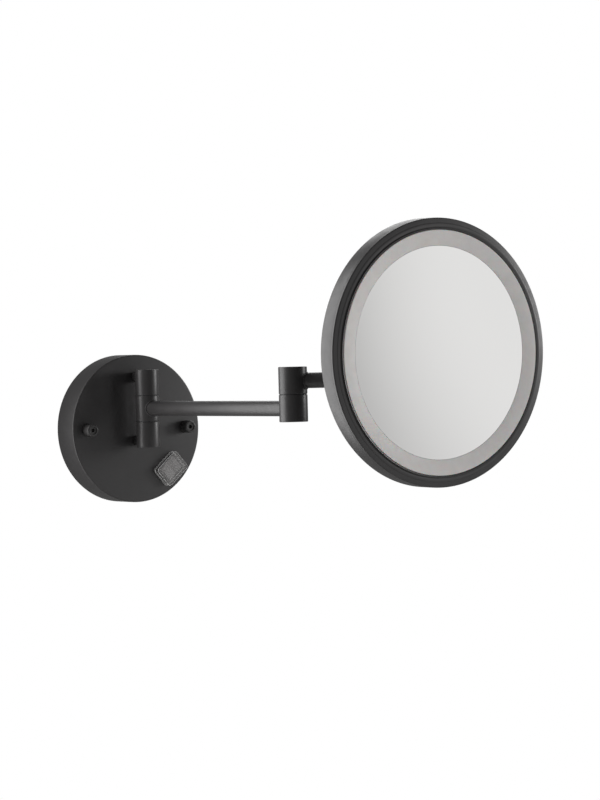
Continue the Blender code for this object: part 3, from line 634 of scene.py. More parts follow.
def grey_plastic():
    """The rocker: grey ABS with a spark-eroded grain, a little polished by fingers."""
    finish = Finish("grey_plastic", (0.27, 0.26, 0.26), 0.4)
    finish.worn_edges(finish.tint(finish.noise(260, 4), 0.08), (0.50, 0.48, 0.47), width=0.3)
    finish.roughen(finish.noise(500, 4), 0.34, 0.52)
    finish.relief(finish.noise(2600, 3), 0.02)
    return finish.material


def clear_silicone():
    """The boot: clear silicone, faintly milky, with a painted highlight on its edges: whitened, more opaque and
    given a faint painted glow by emission.
    """
    finish = Finish("clear_silicone", (0.50, 0.49, 0.485), 0.16, IOR=1.41)
    # Edge mask for the painted highlight: it whitens the base colour along the edges and feeds the painted glow
    # and the alpha below.
    edge = finish.edges(0.55, 3.0)
    milky = finish.mixed(edge, finish.tint(finish.noise(350, 4), 0.04), (0.95, 0.95, 0.95))
    finish.links.new(milky, finish.shader.inputs["Base Color"])
    # Painted glow: a little emission along the edges, though the boot is no lamp.
    painted_edge_glow = finish.between(edge, 0.0, 0.30, start=0.6, end=2.6)
    finish.links.new(painted_edge_glow, finish.shader.inputs["Emission Strength"])
    finish.roughen(finish.noise(350, 4), 0.10, 0.22)
    finish.relief(finish.noise(420, 2), 0.015)
    facing = finish.nodes.new("ShaderNodeLayerWeight")
    facing.inputs["Blend"].default_value = 0.35
    film = finish.between(facing.outputs["Facing"], 0.22, 0.34, start=0.15, end=1.0)
    # Alpha from a facing film, raised to opaque along the edges so that the painted highlight shows white.
    film_and_painted_highlight_alpha = finish.nodes.new("ShaderNodeMath")
    film_and_painted_highlight_alpha.operation = "MAXIMUM"
    film_and_painted_highlight_alpha.use_clamp = True
    finish.links.new(film, film_and_painted_highlight_alpha.inputs[0])
    finish.links.new(edge, film_and_painted_highlight_alpha.inputs[1])
    finish.links.new(film_and_painted_highlight_alpha.outputs["Value"], finish.shader.inputs["Alpha"])
    return finish.material


def mirror_silver():
    """Silvered glass with the faintest haze where it has been wiped."""
    finish = Finish("mirror_silver", (0.93, 0.925, 0.915), 0.02, 1.0)
    finish.tint(finish.noise(9, 3), 0.006)
    finish.roughen(finish.noise(30, 5, finish.stretched(1, 1, 4)), 0.012, 0.034)
    return finish.material


def frosted_acrylic():
    """Sand-blasted acrylic, milky, with light passing a little way into it."""
    finish = Finish(
        "frosted_acrylic",
        (0.76, 0.735, 0.72),
        0.55,
        Subsurface_Weight=0.25,
        Subsurface_Scale=0.002,
    )
    finish.tint(finish.noise(130, 5), 0.035)
    finish.roughen(finish.noise(600, 4), 0.46, 0.62)
    finish.relief(finish.noise(3000, 2), 0.015)
    return finish.material


def board_white():
    finish = Finish("board_white", (0.82, 0.82, 0.79), 0.35)
    finish.tint(finish.noise(220, 3), 0.03)
    finish.roughen(finish.noise(500, 3), 0.28, 0.42)
    finish.relief(finish.noise(1500, 2), 0.01)
    return finish.material


def lead_sleeve():
    finish = Finish("lead_sleeve", (0.09, 0.09, 0.10), 0.5)
    finish.tint(finish.noise(150, 3), 0.12)
    finish.roughen(finish.noise(800, 3), 0.42, 0.60)
    finish.relief(finish.noise(2400, 2), 0.02)
    return finish.material


def floor_finish():
    finish = Finish("floor_finish", (0.86, 0.86, 0.85), 0.6)
    finish.tint(finish.noise(3, 4), 0.012)
    finish.roughen(finish.noise(12, 4), 0.52, 0.68)
    return finish.material


MAKERS = (
    bronze,
    brushed_steel,
    brass,
    aluminium,
    nylon,
    black_rubber,
    white_plastic,
    grey_plastic,
    clear_silicone,
    mirror_silver,
    frosted_acrylic,
    board_white,
    lead_sleeve,
)


# ---------------------------------------------------------------- dressing


def dress_cad_nodes(finishes):
    """Gives each CAD node the detailed finish of its slot."""
    for name, node in frame["nodes"].items():
        node.data.materials.clear()
        node.data.materials.append(finishes[SLOT_OF[name]])


def stand_for(piece, node):
    """The piece takes a CAD node's place, body and finish."""
    piece.name = f"{node}_shaped"
    add_piece(piece, BODY_OF[node], SLOT_OF[node])
    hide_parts(node)


def add_piece(piece, body, slot):
    piece.data.materials.clear()
    piece.data.materials.append(FINISHES[slot])
    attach(piece, body)


# ---------------------------------------------------------------- wall plate


def make_mounting_plate():
    """The bracket disc with its rounded wall slots, stud holes and cable entry."""
    face = WALL @ FORWARD
    plate = turned("plate", ring_outline(0.0, BRACKET_RADIUS, 0.0, BRACKET_THICKNESS, 0.3), face, HUGE)
    for side in (-1, 1):
        fixing = shifted(WALL, x=side * FIXING_X) @ FORWARD
        drill(plate, STUD_RADIUS + GAP, *BRACKET_DRILL, fixing)
        for level in (-1, 1):
            place = shifted(WALL, x=side * WALL_SCREW_SPREAD, z=level * WALL_SCREW_SPREAD)
            cut_wall_slot(plate, shifted(place, y=-BRACKET_THICKNESS / 2))
    entry = shifted(WALL, z=CABLE_ENTRY_Z) @ FORWARD
    drill(plate, CABLE_ENTRY_RADIUS, *BRACKET_DRILL, entry)
    stand_for(plate, "mounting_plate")


def cut_wall_slot(plate, middle):
    """A level slot with round ends, which are a hair narrower so that no faces coincide."""
    straight = WALL_SLOT_LENGTH - WALL_SLOT_WIDTH
    through = 3 * BRACKET_THICKNESS
    hair = 0.001
    cut(plate, block("slot", (straight, through, WALL_SLOT_WIDTH), middle))
    for end in (-1, 1):
        round_end = shifted(middle, x=end * straight / 2) @ FORWARD
        drill(plate, WALL_SLOT_WIDTH / 2 - hair, -through / 2, through / 2, round_end)


def make_gasket():
    outline = ring_outline(GASKET_INSIDE, PLATE_RADIUS - GAP, 0.0, GASKET_THICKNESS, 0.3)
    stand_for(turned("gasket", outline, FORWARD, HUGE), "wall_gasket")


def make_cable_grommet():
    """The wall plate's cable bush, with its lip in front of the bracket."""
    back = 0.1
    shank = CABLE_ENTRY_RADIUS - GAP
    seat = BRACKET_THICKNESS + GAP
    front = seat + CABLE_BUSH_LIP
    outline = [
        (CABLE_BUSH_BORE, back, 0.4),
        (shank, back, 0.3),
        (shank, seat),
        (CABLE_BUSH_LIP_RADIUS, seat, 0.4),
        (CABLE_BUSH_LIP_RADIUS, front, 0.5),
        (CABLE_BUSH_BORE, front, 0.4),
    ]
    place = shifted(WALL, z=CABLE_ENTRY_Z) @ FORWARD
    stand_for(turned("bush", outline, place, MIDDLE), "cable_grommet")


def make_head_grommet():
    """The lead's bush in the head's back, with its lip outside."""
    seat = -HEAD_DEPTH - GAP
    back = -HEAD_DEPTH - HEAD_BUSH_LIP
    front = -HEAD_DEPTH + HEAD_FLOOR + GAP
    shank = HEAD_LEAD_HOLE - GAP
    outline = [
        (HEAD_BUSH_BORE, back, 0.3),
        (HEAD_BUSH_LIP_RADIUS, back, 0.5),
        (HEAD_BUSH_LIP_RADIUS, seat),
        (shank, seat),
        (shank, front, 0.3),
        (HEAD_BUSH_BORE, front),
    ]
    place = shifted(RIM, y=HEAD_LEAD_Z)
    stand_for(turned("bush", outline, place, MIDDLE), "head_grommet")


def make_cover():
    """The spun cover: a deep round dish with a softly rounded front edge."""
    inside = PLATE_RADIUS - COVER_WALL
    outline = [
        (0.0, PLATE_DEPTH - COVER_FACE),
        (inside, PLATE_DEPTH - COVER_FACE, COVER_FILLET),
        (inside, COVER_REAR),
        (PLATE_RADIUS, COVER_REAR, 0.3),
        (PLATE_RADIUS, PLATE_DEPTH, COVER_ROUND),
        (0.0, PLATE_DEPTH),
    ]
    cover = turned("cover", outline, WALL @ FORWARD, HUGE)
    for side in (-1, 1):
        fixing = shifted(WALL, x=side * FIXING_X) @ FORWARD
        drill(cover, STUD_RADIUS + GAP, *COVER_DRILL, fixing)
        neck = shifted(POST, z=side * NECK_OFFSET)
        neck.translation.y = 0
        drill(cover, SPIGOT_RADIUS + GAP, *COVER_DRILL, neck @ FORWARD)
    length = SWITCH_BODY_LENGTH + 2 * GAP
    width = SWITCH_BODY_WIDTH + 2 * GAP
    cut(cover, block("window", (length, SWITCH_WINDOW_DEPTH, width), MOUTH))
    stand_for(cover, "cover_shell")


def make_cap_nuts():
    """Tall round cap nuts with a dished end and a hexagon socket."""
    face = PLATE_DEPTH + GAP
    top = face + CAP_NUT_HEIGHT
    inside = face + CAP_NUT_END
    dish = top - CAP_NUT_DISH_DEPTH
    for side, word in ((-1, "left"), (1, "right")):
        place = shifted(WALL, x=side * FIXING_X) @ FORWARD
        outline = [
            (STUD_RADIUS + GAP, face),
            (CAP_NUT_RADIUS, face, 0.2),
            (CAP_NUT_RADIUS, top, CAP_NUT_ROUND),
            (CAP_NUT_RIM, top, 0.2),
            (CAP_NUT_DISH_RADIUS, dish, 0.2),
            (0.0, dish),
            (0.0, inside),
            (STUD_RADIUS + GAP, inside),
        ]
        nut = turned("nut", outline, place, MIDDLE)
        floor = inside + CAP_NUT_SOCKET_FLOOR
        drill(nut, CAP_NUT_SOCKET, floor, top + CUT_SPARE, place, HEXAGON)
        stand_for(nut, f"cap_nut_{word}")


def make_post():
    """The post's fixed outer knuckles on their necks, and their end caps."""
    end = 1.5 * KNUCKLE_PITCH
    seam = KNUCKLE_PITCH / 2 + SEAM / 2
    post_out = -POST.translation.y / MM
    near = post_out - NECK_START
    far = PLATE_DEPTH + GAP
    for way, word, floor in ((1, "upper", UPPER_KNUCKLE_FLOOR), (-1, "lower", LOWER_KNUCKLE_FLOOR)):
        knuckle = turned("knuckle", barrel_half(POST_RADIUS, way * seam, way * end, floor), POST)
        level = shifted(POST, z=way * NECK_OFFSET)
        level.translation.y = 0
        middle = shifted(level, y=-(near + far) / 2)
        size = (NECK_WIDTH, near - far, NECK_HEIGHT)
        join(knuckle, block("neck", size, middle, NECK_ROUND, steps=5))
        spigot = ring_outline(0.0, SPIGOT_RADIUS, SPIGOT_BACK, far + SPIGOT_OVERLAP)
        join(knuckle, turned("spigot", spigot, level @ FORWARD, MIDDLE))
        if word == "lower":
            start = post_out - SPIGOT_BORE_START
            drill(knuckle, SPIGOT_BORE, SPIGOT_BORE_BACK, start, level @ FORWARD, SMALL)
        stand_for(knuckle, f"wall_knuckle_{word}")
        make_end_cap(f"post_cap_{word}", POST_RADIUS, way * end, way, POST)


# ---------------------------------------------------------------- barrels and arms


def barrel_half(radius, seam, end, floor):
    """Outline of a barrel half: bored at its seam, hollow behind its floor, open at its end."""
    way = 1 if end > seam else -1
    seam -= way * (SEAM - SEAM_SHOWN) / 2
    return [
        (PIN_BORE, seam, 0.2),
        (radius, seam, BARREL_ROUND),
        (radius, end, BARREL_ROUND),
        (radius - END_WALL, end, 0.1),
        (radius - END_WALL, end - way * END_WELL),
        (radius - END_STEP, end - way * END_WELL),
        (radius - END_STEP, floor),
        (PIN_BORE, floor),
    ]


def make_end_cap(node, radius, end, way, place):
    """The pressed disc that closes a barrel's end just below its rim."""
    outer = end - way * GAP
    inner = outer - way * END_CAP
    edge = radius - END_WALL - GAP
    outline = [(0.0, inner), (edge, inner), (edge, outer, 0.35), (0.0, outer)]
    stand_for(turned("cap", outline, place), node)


def make_washer(node, low, radius, place):
    """The black friction washer that fills a seam, a little inside the barrel's surface."""
    spare = (SEAM - SEAM_SHOWN) / 2 + WASHER_AIR
    outline = ring_outline(PIN_BORE, radius, low + spare, low + SEAM - spare, 0.1)
    stand_for(turned("washer", outline, place), node)


def make_arm_tube(node, start, end, place):
    outline = [
        (TUBE_BORE, start),
        (TUBE_RADIUS, start, 0.25),
        (TUBE_RADIUS, end, 0.25),
        (TUBE_BORE, end),
    ]
    stand_for(turned("tube", outline, place @ SIDEWAYS), node)


def socket(piece, place, way, start=SOCKET_START):
    """Bores a tube's socket into a barrel, opening along the place's X on one side."""
    low, high = sorted((way * start, way * SOCKET_END))
    drill(piece, TUBE_RADIUS + GAP, low, high, place @ SIDEWAYS, LARGE)


def lead_way(piece, place, way):
    """Drills the lead's hole from the barrel's bore to the tube's socket."""
    low, high = sorted((way * LEAD_HOLE_START, way * LEAD_HOLE_END))
    drill(piece, LEAD_HOLE, low, high, place @ SIDEWAYS, SMALL)


def make_root_bead(name, barrel, place, way, body):
    """The fine brazed bead where a tube meets a barrel of the given radius."""
    shape = bpy.data.curves.new(name, "CURVE")
    shape.dimensions = "3D"
    shape.bevel_depth = ROOT_BEAD * MM
    shape.bevel_resolution = 3
    line = shape.splines.new("POLY")
    line.points.add(LARGE - 1)
    line.use_cyclic_u = True
    reach = TUBE_RADIUS + ROOT_BEAD_LIFT
    for index, point in enumerate(line.points):
        angle = 2 * math.pi * index / LARGE
        across = reach * math.cos(angle)
        out = math.sqrt(barrel**2 - across**2) * way
        point.co = (*(place @ (Vector((out, across, reach * math.sin(angle))) * MM)), 1.0)
    curve = bpy.data.objects.new("bead_line", shape)
    bpy.context.scene.collection.objects.link(curve)
    bpy.context.view_layer.update()
    depsgraph = bpy.context.evaluated_depsgraph_get()
    mesh = bpy.data.meshes.new_from_object(curve.evaluated_get(depsgraph))
    bpy.data.objects.remove(curve, do_unlink=True)
    bead = bpy.data.objects.new(name, mesh)
    bpy.context.scene.collection.objects.link(bead)
    shade(bead, 60.0)
    add_piece(bead, body, "bronze")


def make_arm_one():
    """The long arm: the post's middle knuckle, the tube and the elbow's lower half."""
    high = KNUCKLE_PITCH / 2 - SEAM_SHOWN / 2
    outline = [
        (PIN_BORE, -high, 0.2),
        (POST_RADIUS, -high, BARREL_ROUND),
        (POST_RADIUS, high, BARREL_ROUND),
        (PIN_BORE, high, 0.2),
    ]
    knuckle = turned("knuckle", outline, ARM_ONE)
    socket(knuckle, ARM_ONE, 1)
    lead_way(knuckle, ARM_ONE, 1)
    stand_for(knuckle, "arm_one_knuckle")
    make_root_bead("arm_one_root_bead", POST_RADIUS, ARM_ONE, 1, "arm_one")
    high = KNUCKLE_PITCH / 2 - SEAM / 2
    make_washer("post_washer_upper", high, POST_RADIUS - WASHER_INSET, ARM_ONE)
    make_washer("post_washer_lower", -high - SEAM, POST_RADIUS - WASHER_INSET, ARM_ONE)
    reach = SOCKET_START + GAP
    make_arm_tube("arm_one_tube", reach, ARM_ONE_LENGTH - reach, ARM_ONE)

    elbow = shifted(ARM_ONE, x=ARM_ONE_LENGTH)
    outline = barrel_half(ELBOW_RADIUS, ELBOW_SEAM, ELBOW_BOTTOM, LOWER_FLOOR)
    lower = turned("elbow", outline, elbow)
    socket(lower, elbow, -1)
    lead_way(lower, elbow, -1)
    stand_for(lower, "elbow_lower")
    make_root_bead("elbow_lower_bead", ELBOW_RADIUS, elbow, -1, "arm_one")
    make_washer("elbow_washer", ELBOW_SEAM, ELBOW_RADIUS - WASHER_INSET, elbow)
    make_end_cap("elbow_cap_bottom", ELBOW_RADIUS, ELBOW_BOTTOM, -1, elbow)


def make_arm_two():
    """The short arm, one barrel half higher, with the head barrel's lower half on its end."""
    hub = shifted(ARM_TWO, z=-ARM_STEP)
    seam = ELBOW_SEAM + SEAM
    upper = turned("elbow", barrel_half(ELBOW_RADIUS, seam, ELBOW_TOP, seam + UPPER_FLOOR), hub)
    socket(upper, ARM_TWO, 1, UPPER_SOCKET_START)
    stand_for(upper, "elbow_upper")
    make_root_bead("elbow_upper_bead", ELBOW_RADIUS, ARM_TWO, 1, "arm_two")
    make_end_cap("elbow_cap_top", ELBOW_RADIUS, ELBOW_TOP, 1, hub)
    tube_end = ARM_TWO_LENGTH - SOCKET_START - GAP
    make_arm_tube("arm_two_tube", ARM_TWO_TUBE_START, tube_end, ARM_TWO)

    end = shifted(ARM_TWO, x=ARM_TWO_LENGTH)
    outline = barrel_half(SWIVEL_RADIUS, SWIVEL_SEAM, SWIVEL_BOTTOM, LOWER_FLOOR)
    lower = turned("swivel", outline, end)
    socket(lower, end, -1)
    lead_way(lower, end, -1)
    stand_for(lower, "swivel_lower")
    make_root_bead("swivel_lower_bead", SWIVEL_RADIUS, end, -1, "arm_two")
    make_washer("swivel_washer", SWIVEL_SEAM, SWIVEL_RADIUS - WASHER_INSET, end)
    make_end_cap("swivel_cap_bottom", SWIVEL_RADIUS, SWIVEL_BOTTOM, -1, end)


def make_swivel():
    """The head barrel's upper half with the tilt hinge's middle knuckle in front of it."""
    seam = SWIVEL_SEAM + SEAM
    outline = barrel_half(SWIVEL_RADIUS, seam, SWIVEL_TOP, seam + UPPER_FLOOR)
    upper = turned("swivel", outline, SWIVEL)
    reach = (TILT.translation - SWIVEL.translation).xy.length / MM
    length = reach - TILT_NECK_START
    middle = shifted(TILT, y=length / 2)
    size = (2 * TILT_KNUCKLE_HALF, length, TILT_NECK_HEIGHT)
    join(upper, block("neck", size, middle, TILT_NECK_ROUND))
    barrel = ring_outline(0.0, TILT_KNUCKLE, -TILT_KNUCKLE_HALF, TILT_KNUCKLE_HALF)
    join(upper, turned("knuckle", barrel, TILT @ SIDEWAYS, MIDDLE))
    through = TILT_KNUCKLE_HALF + CUT_SPARE
    drill(upper, TILT_PIN_RADIUS + GAP, -through, through, TILT @ SIDEWAYS)
    stand_for(upper, "swivel_upper")
    make_end_cap("swivel_cap_top", SWIVEL_RADIUS, SWIVEL_TOP, 1, SWIVEL)


# ---------------------------------------------------------------- head


def make_tilt_bracket():
    """The two-eared bracket on the head's back, its pin, nut and friction washers."""
    front = RIM_AHEAD - HEAD_DEPTH - GAP
    back = TILT_KNUCKLE + GAP
    outline = ring_outline(0.0, BRACKET_PLATE_RADIUS, back, front, 0.5)
    bracket = turned("bracket", outline, HEAD @ FORWARD)
    inner = TILT_KNUCKLE_HALF + TILT_WASHER + 2 * GAP
    outer = inner + TILT_EAR
    for side, word in ((-1, "left"), (1, "right")):
        low, high = sorted((side * inner, side * outer))
        ear = [(0.0, low), (TILT_KNUCKLE, low, 0.3), (TILT_KNUCKLE, high, 0.3), (0.0, high)]
        join(bracket, turned("ear", ear, HEAD @ SIDEWAYS, MIDDLE))
        depth = back + EAR_ROOT_OVERLAP
        size = (TILT_EAR - EAR_ROOT_INSET, depth, 2 * (TILT_KNUCKLE - EAR_ROOT_INSET))
        root = shifted(HEAD, x=side * (inner + outer) / 2, y=-depth / 2)
        join(bracket, block("ear_root", size, root))
        start = TILT_KNUCKLE_HALF + GAP
        low, high = sorted((side * start, side * (start + TILT_WASHER)))
        rim = TILT_KNUCKLE - TILT_WASHER_INSET
        washer = ring_outline(TILT_PIN_RADIUS + GAP, rim, low, high)
        stand_for(turned("washer", washer, HEAD @ SIDEWAYS, MIDDLE), f"tilt_washer_{word}")
    through = outer + CUT_SPARE
    drill(bracket, TILT_PIN_RADIUS + GAP, -through, through, HEAD @ SIDEWAYS, SMALL)
    stand_for(bracket, "tilt_bracket")
    make_tilt_pin(outer)
    make_tilt_nut(outer)


def make_tilt_pin(outer):
    """The pin through both ears: a round head with a hexagon socket, and a plain end."""
    seat = -outer - GAP
    head = seat - TILT_PIN_HEAD
    end = outer + TILT_PIN_END
    outline = [
        (0.0, head),
        (TILT_PIN_HEAD_RADIUS, head, 0.6),
        (TILT_PIN_HEAD_RADIUS, seat, 0.2),
        (TILT_PIN_RADIUS, seat),
        (TILT_PIN_RADIUS, end, 0.4),
        (0.0, end),
    ]
    place = HEAD @ SIDEWAYS
    pin = turned("pin", outline, place, MIDDLE)
    floor = head + TILT_PIN_SOCKET_DEPTH
    drill(pin, TILT_PIN_SOCKET, head - CUT_SPARE, floor, place, HEXAGON)
    stand_for(pin, "tilt_pin")


def make_tilt_nut(outer):
    """The hexagon nut on the pin's end, its corners turned down on both faces."""
    low = outer + GAP
    high = low + TILT_NUT_HEIGHT
    place = HEAD @ SIDEWAYS
    nut = turned("nut", ring_outline(0.0, TILT_NUT_RADIUS, low, high), place, HEXAGON)
    start = low - TILT_NUT_CROWN_REACH
    end = high + TILT_NUT_CROWN_REACH
    crown = [
        (0.0, start),
        (TILT_NUT_CROWN_END, start),
        (TILT_NUT_CROWN, (low + high) / 2),
        (TILT_NUT_CROWN_END, end),
        (0.0, end),
    ]
    combine(nut, turned("crown", crown, place, MIDDLE), "INTERSECT")
    drill(nut, TILT_PIN_RADIUS + GAP, low - CUT_SPARE, high + CUT_SPARE, place, SMALL)
    stand_for(nut, "tilt_nut")


def make_bracket_screws():
    """Four cross-headed screws that hold the tilt bracket on the head's back."""
    seat = TILT_KNUCKLE + GAP - BRACKET_SCREW_SEAT
    top = TILT_KNUCKLE + GAP - BRACKET_SCREW_HEAD
    outline = [
        (0.0, top),
        (BRACKET_SCREW_RADIUS, top, 0.9),
        (BRACKET_SCREW_RADIUS, seat),
        (0.0, seat),
    ]
    screws = None
    for side in (-1, 1):
        for level in (-1, 1):
            place = shifted(HEAD, x=side * BRACKET_SCREW_X, z=level * BRACKET_SCREW_Z) @ FORWARD
            screw = turned("screw", outline, place, SMALL)
            for turn in (0, 90):
                twist = math.radians(turn + BRACKET_SCREW_TWIST * side * level)
                slot = shifted(place, z=top) @ Matrix.Rotation(twist, 4, "Z")
                cut(screw, block("cross", BRACKET_SCREW_CROSS, slot))
            screws = screw if screws is None else join(screws, screw)
    screws.name = "bracket_screws"
    add_piece(screws, "head", "brushed_steel")


def make_back_shell():
    """The shallow spun pan that forms the head's back and side wall."""
    back = -HEAD_DEPTH
    floor = back + HEAD_FLOOR
    outline = [
        (0.0, back),
        (HEAD_RADIUS, back, 0.8),
        (HEAD_RADIUS, BEZEL_BACK - SHELL_SEAM, 0.05),
        (HEAD_RADIUS - COVER_WALL, BEZEL_BACK - SHELL_SEAM),
        (HEAD_RADIUS - COVER_WALL, floor, 1.0),
        (0.0, floor),
    ]
    shell = turned("shell", outline, RIM, HUGE)
    lead = shifted(RIM, y=HEAD_LEAD_Z)
    drill(shell, HEAD_LEAD_HOLE, back - CUT_SPARE, floor + CUT_SPARE, lead)
    stand_for(shell, "back_shell")


def bead_arc():
    """Outline points of the rim's low bead, from its inner side to its outer side."""
    start, end = RIM_BEAD_SPREAD
    centre_radius, centre_height = RIM_BEAD_CENTRE
    points = []
    for step in range(RIM_BEAD_STEPS + 1):
        angle = math.radians(start + (end - start) * step / RIM_BEAD_STEPS)
        radius = centre_radius + RIM_BEAD_RADIUS * math.cos(angle)
        points.append((radius, centre_height + RIM_BEAD_RADIUS * math.sin(angle)))
    return points


def make_bezel():
    """The front ring: a fine inner lip, a groove, a low bead and a flat band with a rounded edge."""
    under = RING_STEP + GAP
    skirt = HEAD_RADIUS - COVER_WALL - GAP
    outline = [
        (LIP_RADIUS, under),
        (LIP_RADIUS, LIP_EDGE_TOP, 0.08),
        (LIP_CREST, LIP_TOP, 0.15),
        (GROOVE_INSIDE, GROOVE_TOP, 0.1),
        *bead_arc(),
        (BAND_INSIDE, BAND_TOP, 0.1),
        (HEAD_RADIUS, BAND_EDGE_TOP, BAND_ROUND),
        (HEAD_RADIUS, BEZEL_BACK, 0.05),
        (skirt, BEZEL_BACK),
        (skirt, SKIRT_END, 0.2),
        (SKIRT_INSIDE, SKIRT_END, 0.2),
        (SKIRT_INSIDE, FLANGE_SEAT),
        (FLANGE_SEAT_RADIUS, FLANGE_SEAT),
        (FLANGE_SEAT_RADIUS, under),
    ]
    stand_for(turned("bezel", outline, RIM, HUGE), "bezel_rim")


def make_mirror():
    """The magnifying mirror: a shallow dished glass."""
    front = []
    for ring in range(MIRROR_RINGS + 1):
        radius = MIRROR_RADIUS * ring / MIRROR_RINGS
        depth = MIRROR_SAG * (1 - (radius / MIRROR_RADIUS) ** 2)
        front.append((radius, GLASS_FRONT - depth))
    back = [(point[0], point[1] - GLASS_THICKNESS) for point in reversed(front)]
    stand_for(turned("mirror", front + back, RIM, HUGE), "mirror_glass")


def make_diffuser():
    """The frosted ring: a face that falls gently to the mirror, on a flange under the lip."""
    outline = [
        (RING_INSIDE, RING_BACK),
        (RING_OUTER, RING_BACK),
        (RING_OUTER, RING_STEP),
        (RING_EDGE, RING_STEP),
        (RING_EDGE, RING_FRONT, 0.35),
        (RING_INSIDE, GLASS_FRONT + RING_PROUD, 0.1),
    ]
    stand_for(turned("ring", outline, RIM, HUGE), "diffuser_ring")


def make_lamps():
    """Small oblong lamps evenly spaced around the board."""
    size = Matrix.Diagonal(Vector(LAMP_SIZE) * MM).to_4x4()
    shape = bmesh.new()
    for index in range(LAMP_COUNT):
        turn = Matrix.Rotation(2 * math.pi * index / LAMP_COUNT, 4, "Z")
        place = shifted(RIM @ turn, x=LAMP_CIRCLE, z=BOARD_FRONT + LAMP_MIDDLE)
        made = bmesh.ops.create_cube(shape, size=1.0, matrix=place @ size)
        edges = dict.fromkeys(edge for vertex in made["verts"] for edge in vertex.link_edges)
        bevel_edges(shape, list(edges), LAMP_ROUND, 2)
    lamps = made_from("lamps", shape)
    add_piece(lamps, "head", "board_white")


# ---------------------------------------------------------------- switch


def make_switch_housing():
    """The black moulded housing: a thin flange on the face and the body behind it."""
    middle = -GAP - SWITCH_FLANGE / 2
    flange = (SWITCH_LENGTH, SWITCH_FLANGE, SWITCH_WIDTH)
    housing = block("flange", flange, shifted(MOUTH, y=middle), SWITCH_EDGE)
    body = (SWITCH_BODY_LENGTH, SWITCH_BODY_DEPTH - middle, SWITCH_BODY_WIDTH)
    join(housing, block("body", body, shifted(MOUTH, y=(SWITCH_BODY_DEPTH + middle) / 2)))
    front = -GAP - SWITCH_FLANGE - WELL_CUT_AHEAD
    well = (ROCKER_LENGTH + WELL_SPARE, SWITCH_WELL_DEPTH - front, ROCKER_WIDTH + WELL_SPARE)
    place = shifted(MOUTH, y=(SWITCH_WELL_DEPTH + front) / 2)
    cut(housing, block("well", well, place, SWITCH_EDGE))
    stand_for(housing, "switch_housing")


def make_rocker():
    """The rocker: a shallow V on top, tipped to one side on its cross axis, with soft edges."""
    half = ROCKER_LENGTH / 2
    outline = [
        (-half, ROCKER_END_UNDER),
        (-half, ROCKER_END_TOP),
        (0.0, ROCKER_MIDDLE_TOP),
        (half, ROCKER_END_TOP),
        (half, ROCKER_END_UNDER),
        (0.0, ROCKER_MIDDLE_UNDER),
    ]
    shape = bmesh.new()
    ends = []
    for z in (-ROCKER_WIDTH / 2, ROCKER_WIDTH / 2):
        ends.append([shape.verts.new(Vector((x, y, z)) * MM) for x, y in outline])
        shape.faces.new(ends[-1])
    for index in range(len(outline)):
        after = (index + 1) % len(outline)
        shape.faces.new((ends[0][index], ends[0][after], ends[1][after], ends[1][index]))
    bmesh.ops.recalc_face_normals(shape, faces=shape.faces)
    bevel_edges(shape, shape.edges, ROCKER_ROUND, 4)
    tip = Matrix.Rotation(math.radians(ROCKER_REST), 4, "Z")
    shape.transform(shifted(MOUTH, y=ROCKER_AXIS_DEPTH) @ tip)
    stand_for(made_from("rocker", shape), "switch_rocker")


def rounded_lid(name, size, place, corner, edge):
    """A box with wide round corners along its Y and a finer round around its front."""
    shape = box_shape(size)
    front = -size[1] / 2 * MM
    upright = [line for line in shape.edges if abs(line.verts[0].co.y - line.verts[1].co.y) > MM]
    bevel_edges(shape, upright, corner, 8)
    outer = [line for line in shape.edges if all(abs(v.co.y - front) < TINY for v in line.verts)]
    bevel_edges(shape, outer, edge, 6)
    shape.transform(place)
    return made_from(name, shape)


def make_boot():
    """The clear moulded boot that keeps water out of the switch."""
    middle = shifted(MOUTH, y=-GAP - BOOT_HEIGHT / 2)
    size = (BOOT_LENGTH, BOOT_HEIGHT, BOOT_WIDTH)
    boot = rounded_lid("boot", size, middle, BOOT_CORNER, BOOT_ROUND)
    top = -GAP - BOOT_HEIGHT + BOOT_WALL
    inside = (BOOT_LENGTH - 2 * BOOT_WALL, BOOT_CUT_BACK - top, BOOT_WIDTH - 2 * BOOT_WALL)
    hollow = shifted(MOUTH, y=(BOOT_CUT_BACK + top) / 2)
    cut(boot, rounded_lid("inside", inside, hollow, BOOT_CORNER - BOOT_WALL, BOOT_INSIDE_ROUND))
    stand_for(boot, "switch_boot")


# ---------------------------------------------------------------- stage


def make_camera():
    """The camera stands to the left of the mirror, level with its post."""
    data = bpy.data.cameras.new("camera")
    data.lens = CAMERA_LENS
    data.sensor_width = CAMERA_SENSOR
    camera = bpy.data.objects.new("camera", data)
    bpy.context.scene.collection.objects.link(camera)
    turn = Matrix.Rotation(math.radians(-CAMERA_TURN), 4, "Z")
    pitch = Matrix.Rotation(math.radians(90.0 - CAMERA_DIP), 4, "X")
    roll = Matrix.Rotation(math.radians(-CAMERA_ROLL), 4, "Z")
    camera.matrix_world = Matrix.Translation(CAMERA_PLACE) @ turn @ pitch @ roll
    bpy.context.scene.camera = camera


def make_softbox(name, place, aim, width, height, power):
    """A rectangular light that shines from one point towards another."""
    data = bpy.data.lights.new(name, "AREA")
    data.shape = "RECTANGLE"
    data.size = width
    data.size_y = height
    data.energy = power
    light = bpy.data.objects.new(name, data)
    bpy.context.scene.collection.objects.link(light)
    light.location = place
    light.rotation_euler = (Vector(aim) - Vector(place)).to_track_quat("-Z", "Y").to_euler()
    light.visible_camera = False


def aimed(azimuth, elevation):
    """Direction from the object, in degrees to the right of straight out of the wall and up."""
    turn = math.radians(azimuth)
    level = math.cos(math.radians(elevation))
    lift = math.sin(math.radians(elevation))
    return Vector((math.sin(turn) * level, -math.cos(turn) * level, lift))


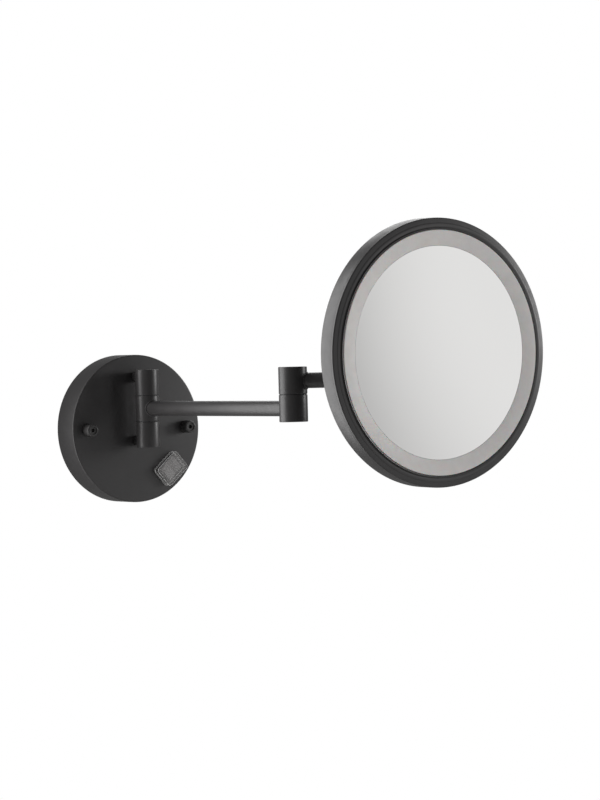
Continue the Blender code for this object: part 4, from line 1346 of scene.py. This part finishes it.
def make_world():
    """A dim studio with one broad pale glow in front, on plain white."""
    world = bpy.data.worlds.new("studio")
    world.use_nodes = True
    bpy.context.scene.world = world
    nodes = world.node_tree.nodes
    links = world.node_tree.links
    studio = nodes["Background"]
    direction = nodes.new("ShaderNodeTexCoord").outputs["Generated"]
    nearness = nodes.new("ShaderNodeVectorMath")
    nearness.operation = "DOT_PRODUCT"
    nearness.inputs[1].default_value = aimed(*GLOW_CENTRE)
    links.new(direction, nearness.inputs[0])
    glow = nodes.new("ShaderNodeMapRange")
    glow.interpolation_type = "SMOOTHSTEP"
    glow.inputs["From Min"].default_value = math.cos(math.radians(GLOW_OUTER))
    glow.inputs["From Max"].default_value = math.cos(math.radians(GLOW_INNER))
    glow.inputs["To Min"].default_value = STUDIO_DIM
    glow.inputs["To Max"].default_value = STUDIO_GLOW
    links.new(nearness.outputs["Value"], glow.inputs["Value"])
    links.new(glow.outputs["Result"], studio.inputs["Strength"])
    white = nodes.new("ShaderNodeBackground")
    for background in (studio, white):
        background.inputs["Color"].default_value = (1.0, 1.0, 1.0, 1.0)
    ray = nodes.new("ShaderNodeLightPath")
    choice = nodes.new("ShaderNodeMixShader")
    links.new(ray.outputs["Is Camera Ray"], choice.inputs["Fac"])
    links.new(studio.outputs["Background"], choice.inputs[1])
    links.new(white.outputs["Background"], choice.inputs[2])
    links.new(choice.outputs["Shader"], nodes["World Output"].inputs["Surface"])


def make_floor():
    """A wide pale disc well below the object."""
    outline = ring_outline(0.0, FLOOR_RADIUS, -FLOOR_THICKNESS, 0.0, FLOOR_ROUND)
    floor = turned("floor", outline, Matrix.Translation(FLOOR_PLACE), MIDDLE)
    floor.data.materials.append(floor_finish())


def make_lights():
    """A tall panel on the left, a key on the right and a weak light above, all in metres and watts."""
    make_world()
    make_softbox(
        "left_panel",
        place=(-0.57, 0.03, 0.12),
        aim=(-0.57, -1.0, 0.12),
        width=0.88,
        height=1.3,
        power=13.4,
    )
    make_softbox(
        "key_light",
        place=aimed(61, 7) * 2.0,
        aim=(0, 0, 0),
        width=0.5,
        height=0.5,
        power=12,
    )
    make_softbox(
        "rim_light",
        place=(0.42, 0.16, 0.42),
        aim=(0.04, -0.36, 0.14),
        width=0.55,
        height=0.4,
        power=1.4,
    )
    bpy.context.scene.view_settings.view_transform = "Standard"


make_camera()
FINISHES = {maker.__name__: maker() for maker in MAKERS}
dress_cad_nodes(FINISHES)

make_mounting_plate()
make_gasket()
make_cable_grommet()
make_head_grommet()
make_cover()
make_cap_nuts()
make_post()
make_arm_one()
make_arm_two()
make_swivel()
make_tilt_bracket()
make_bracket_screws()
make_back_shell()
make_bezel()
make_mirror()
make_diffuser()
make_lamps()
make_switch_housing()
make_rocker()
make_boot()

make_floor()
make_lights()


def corners(box):
    return [list(corner) for corner in box]
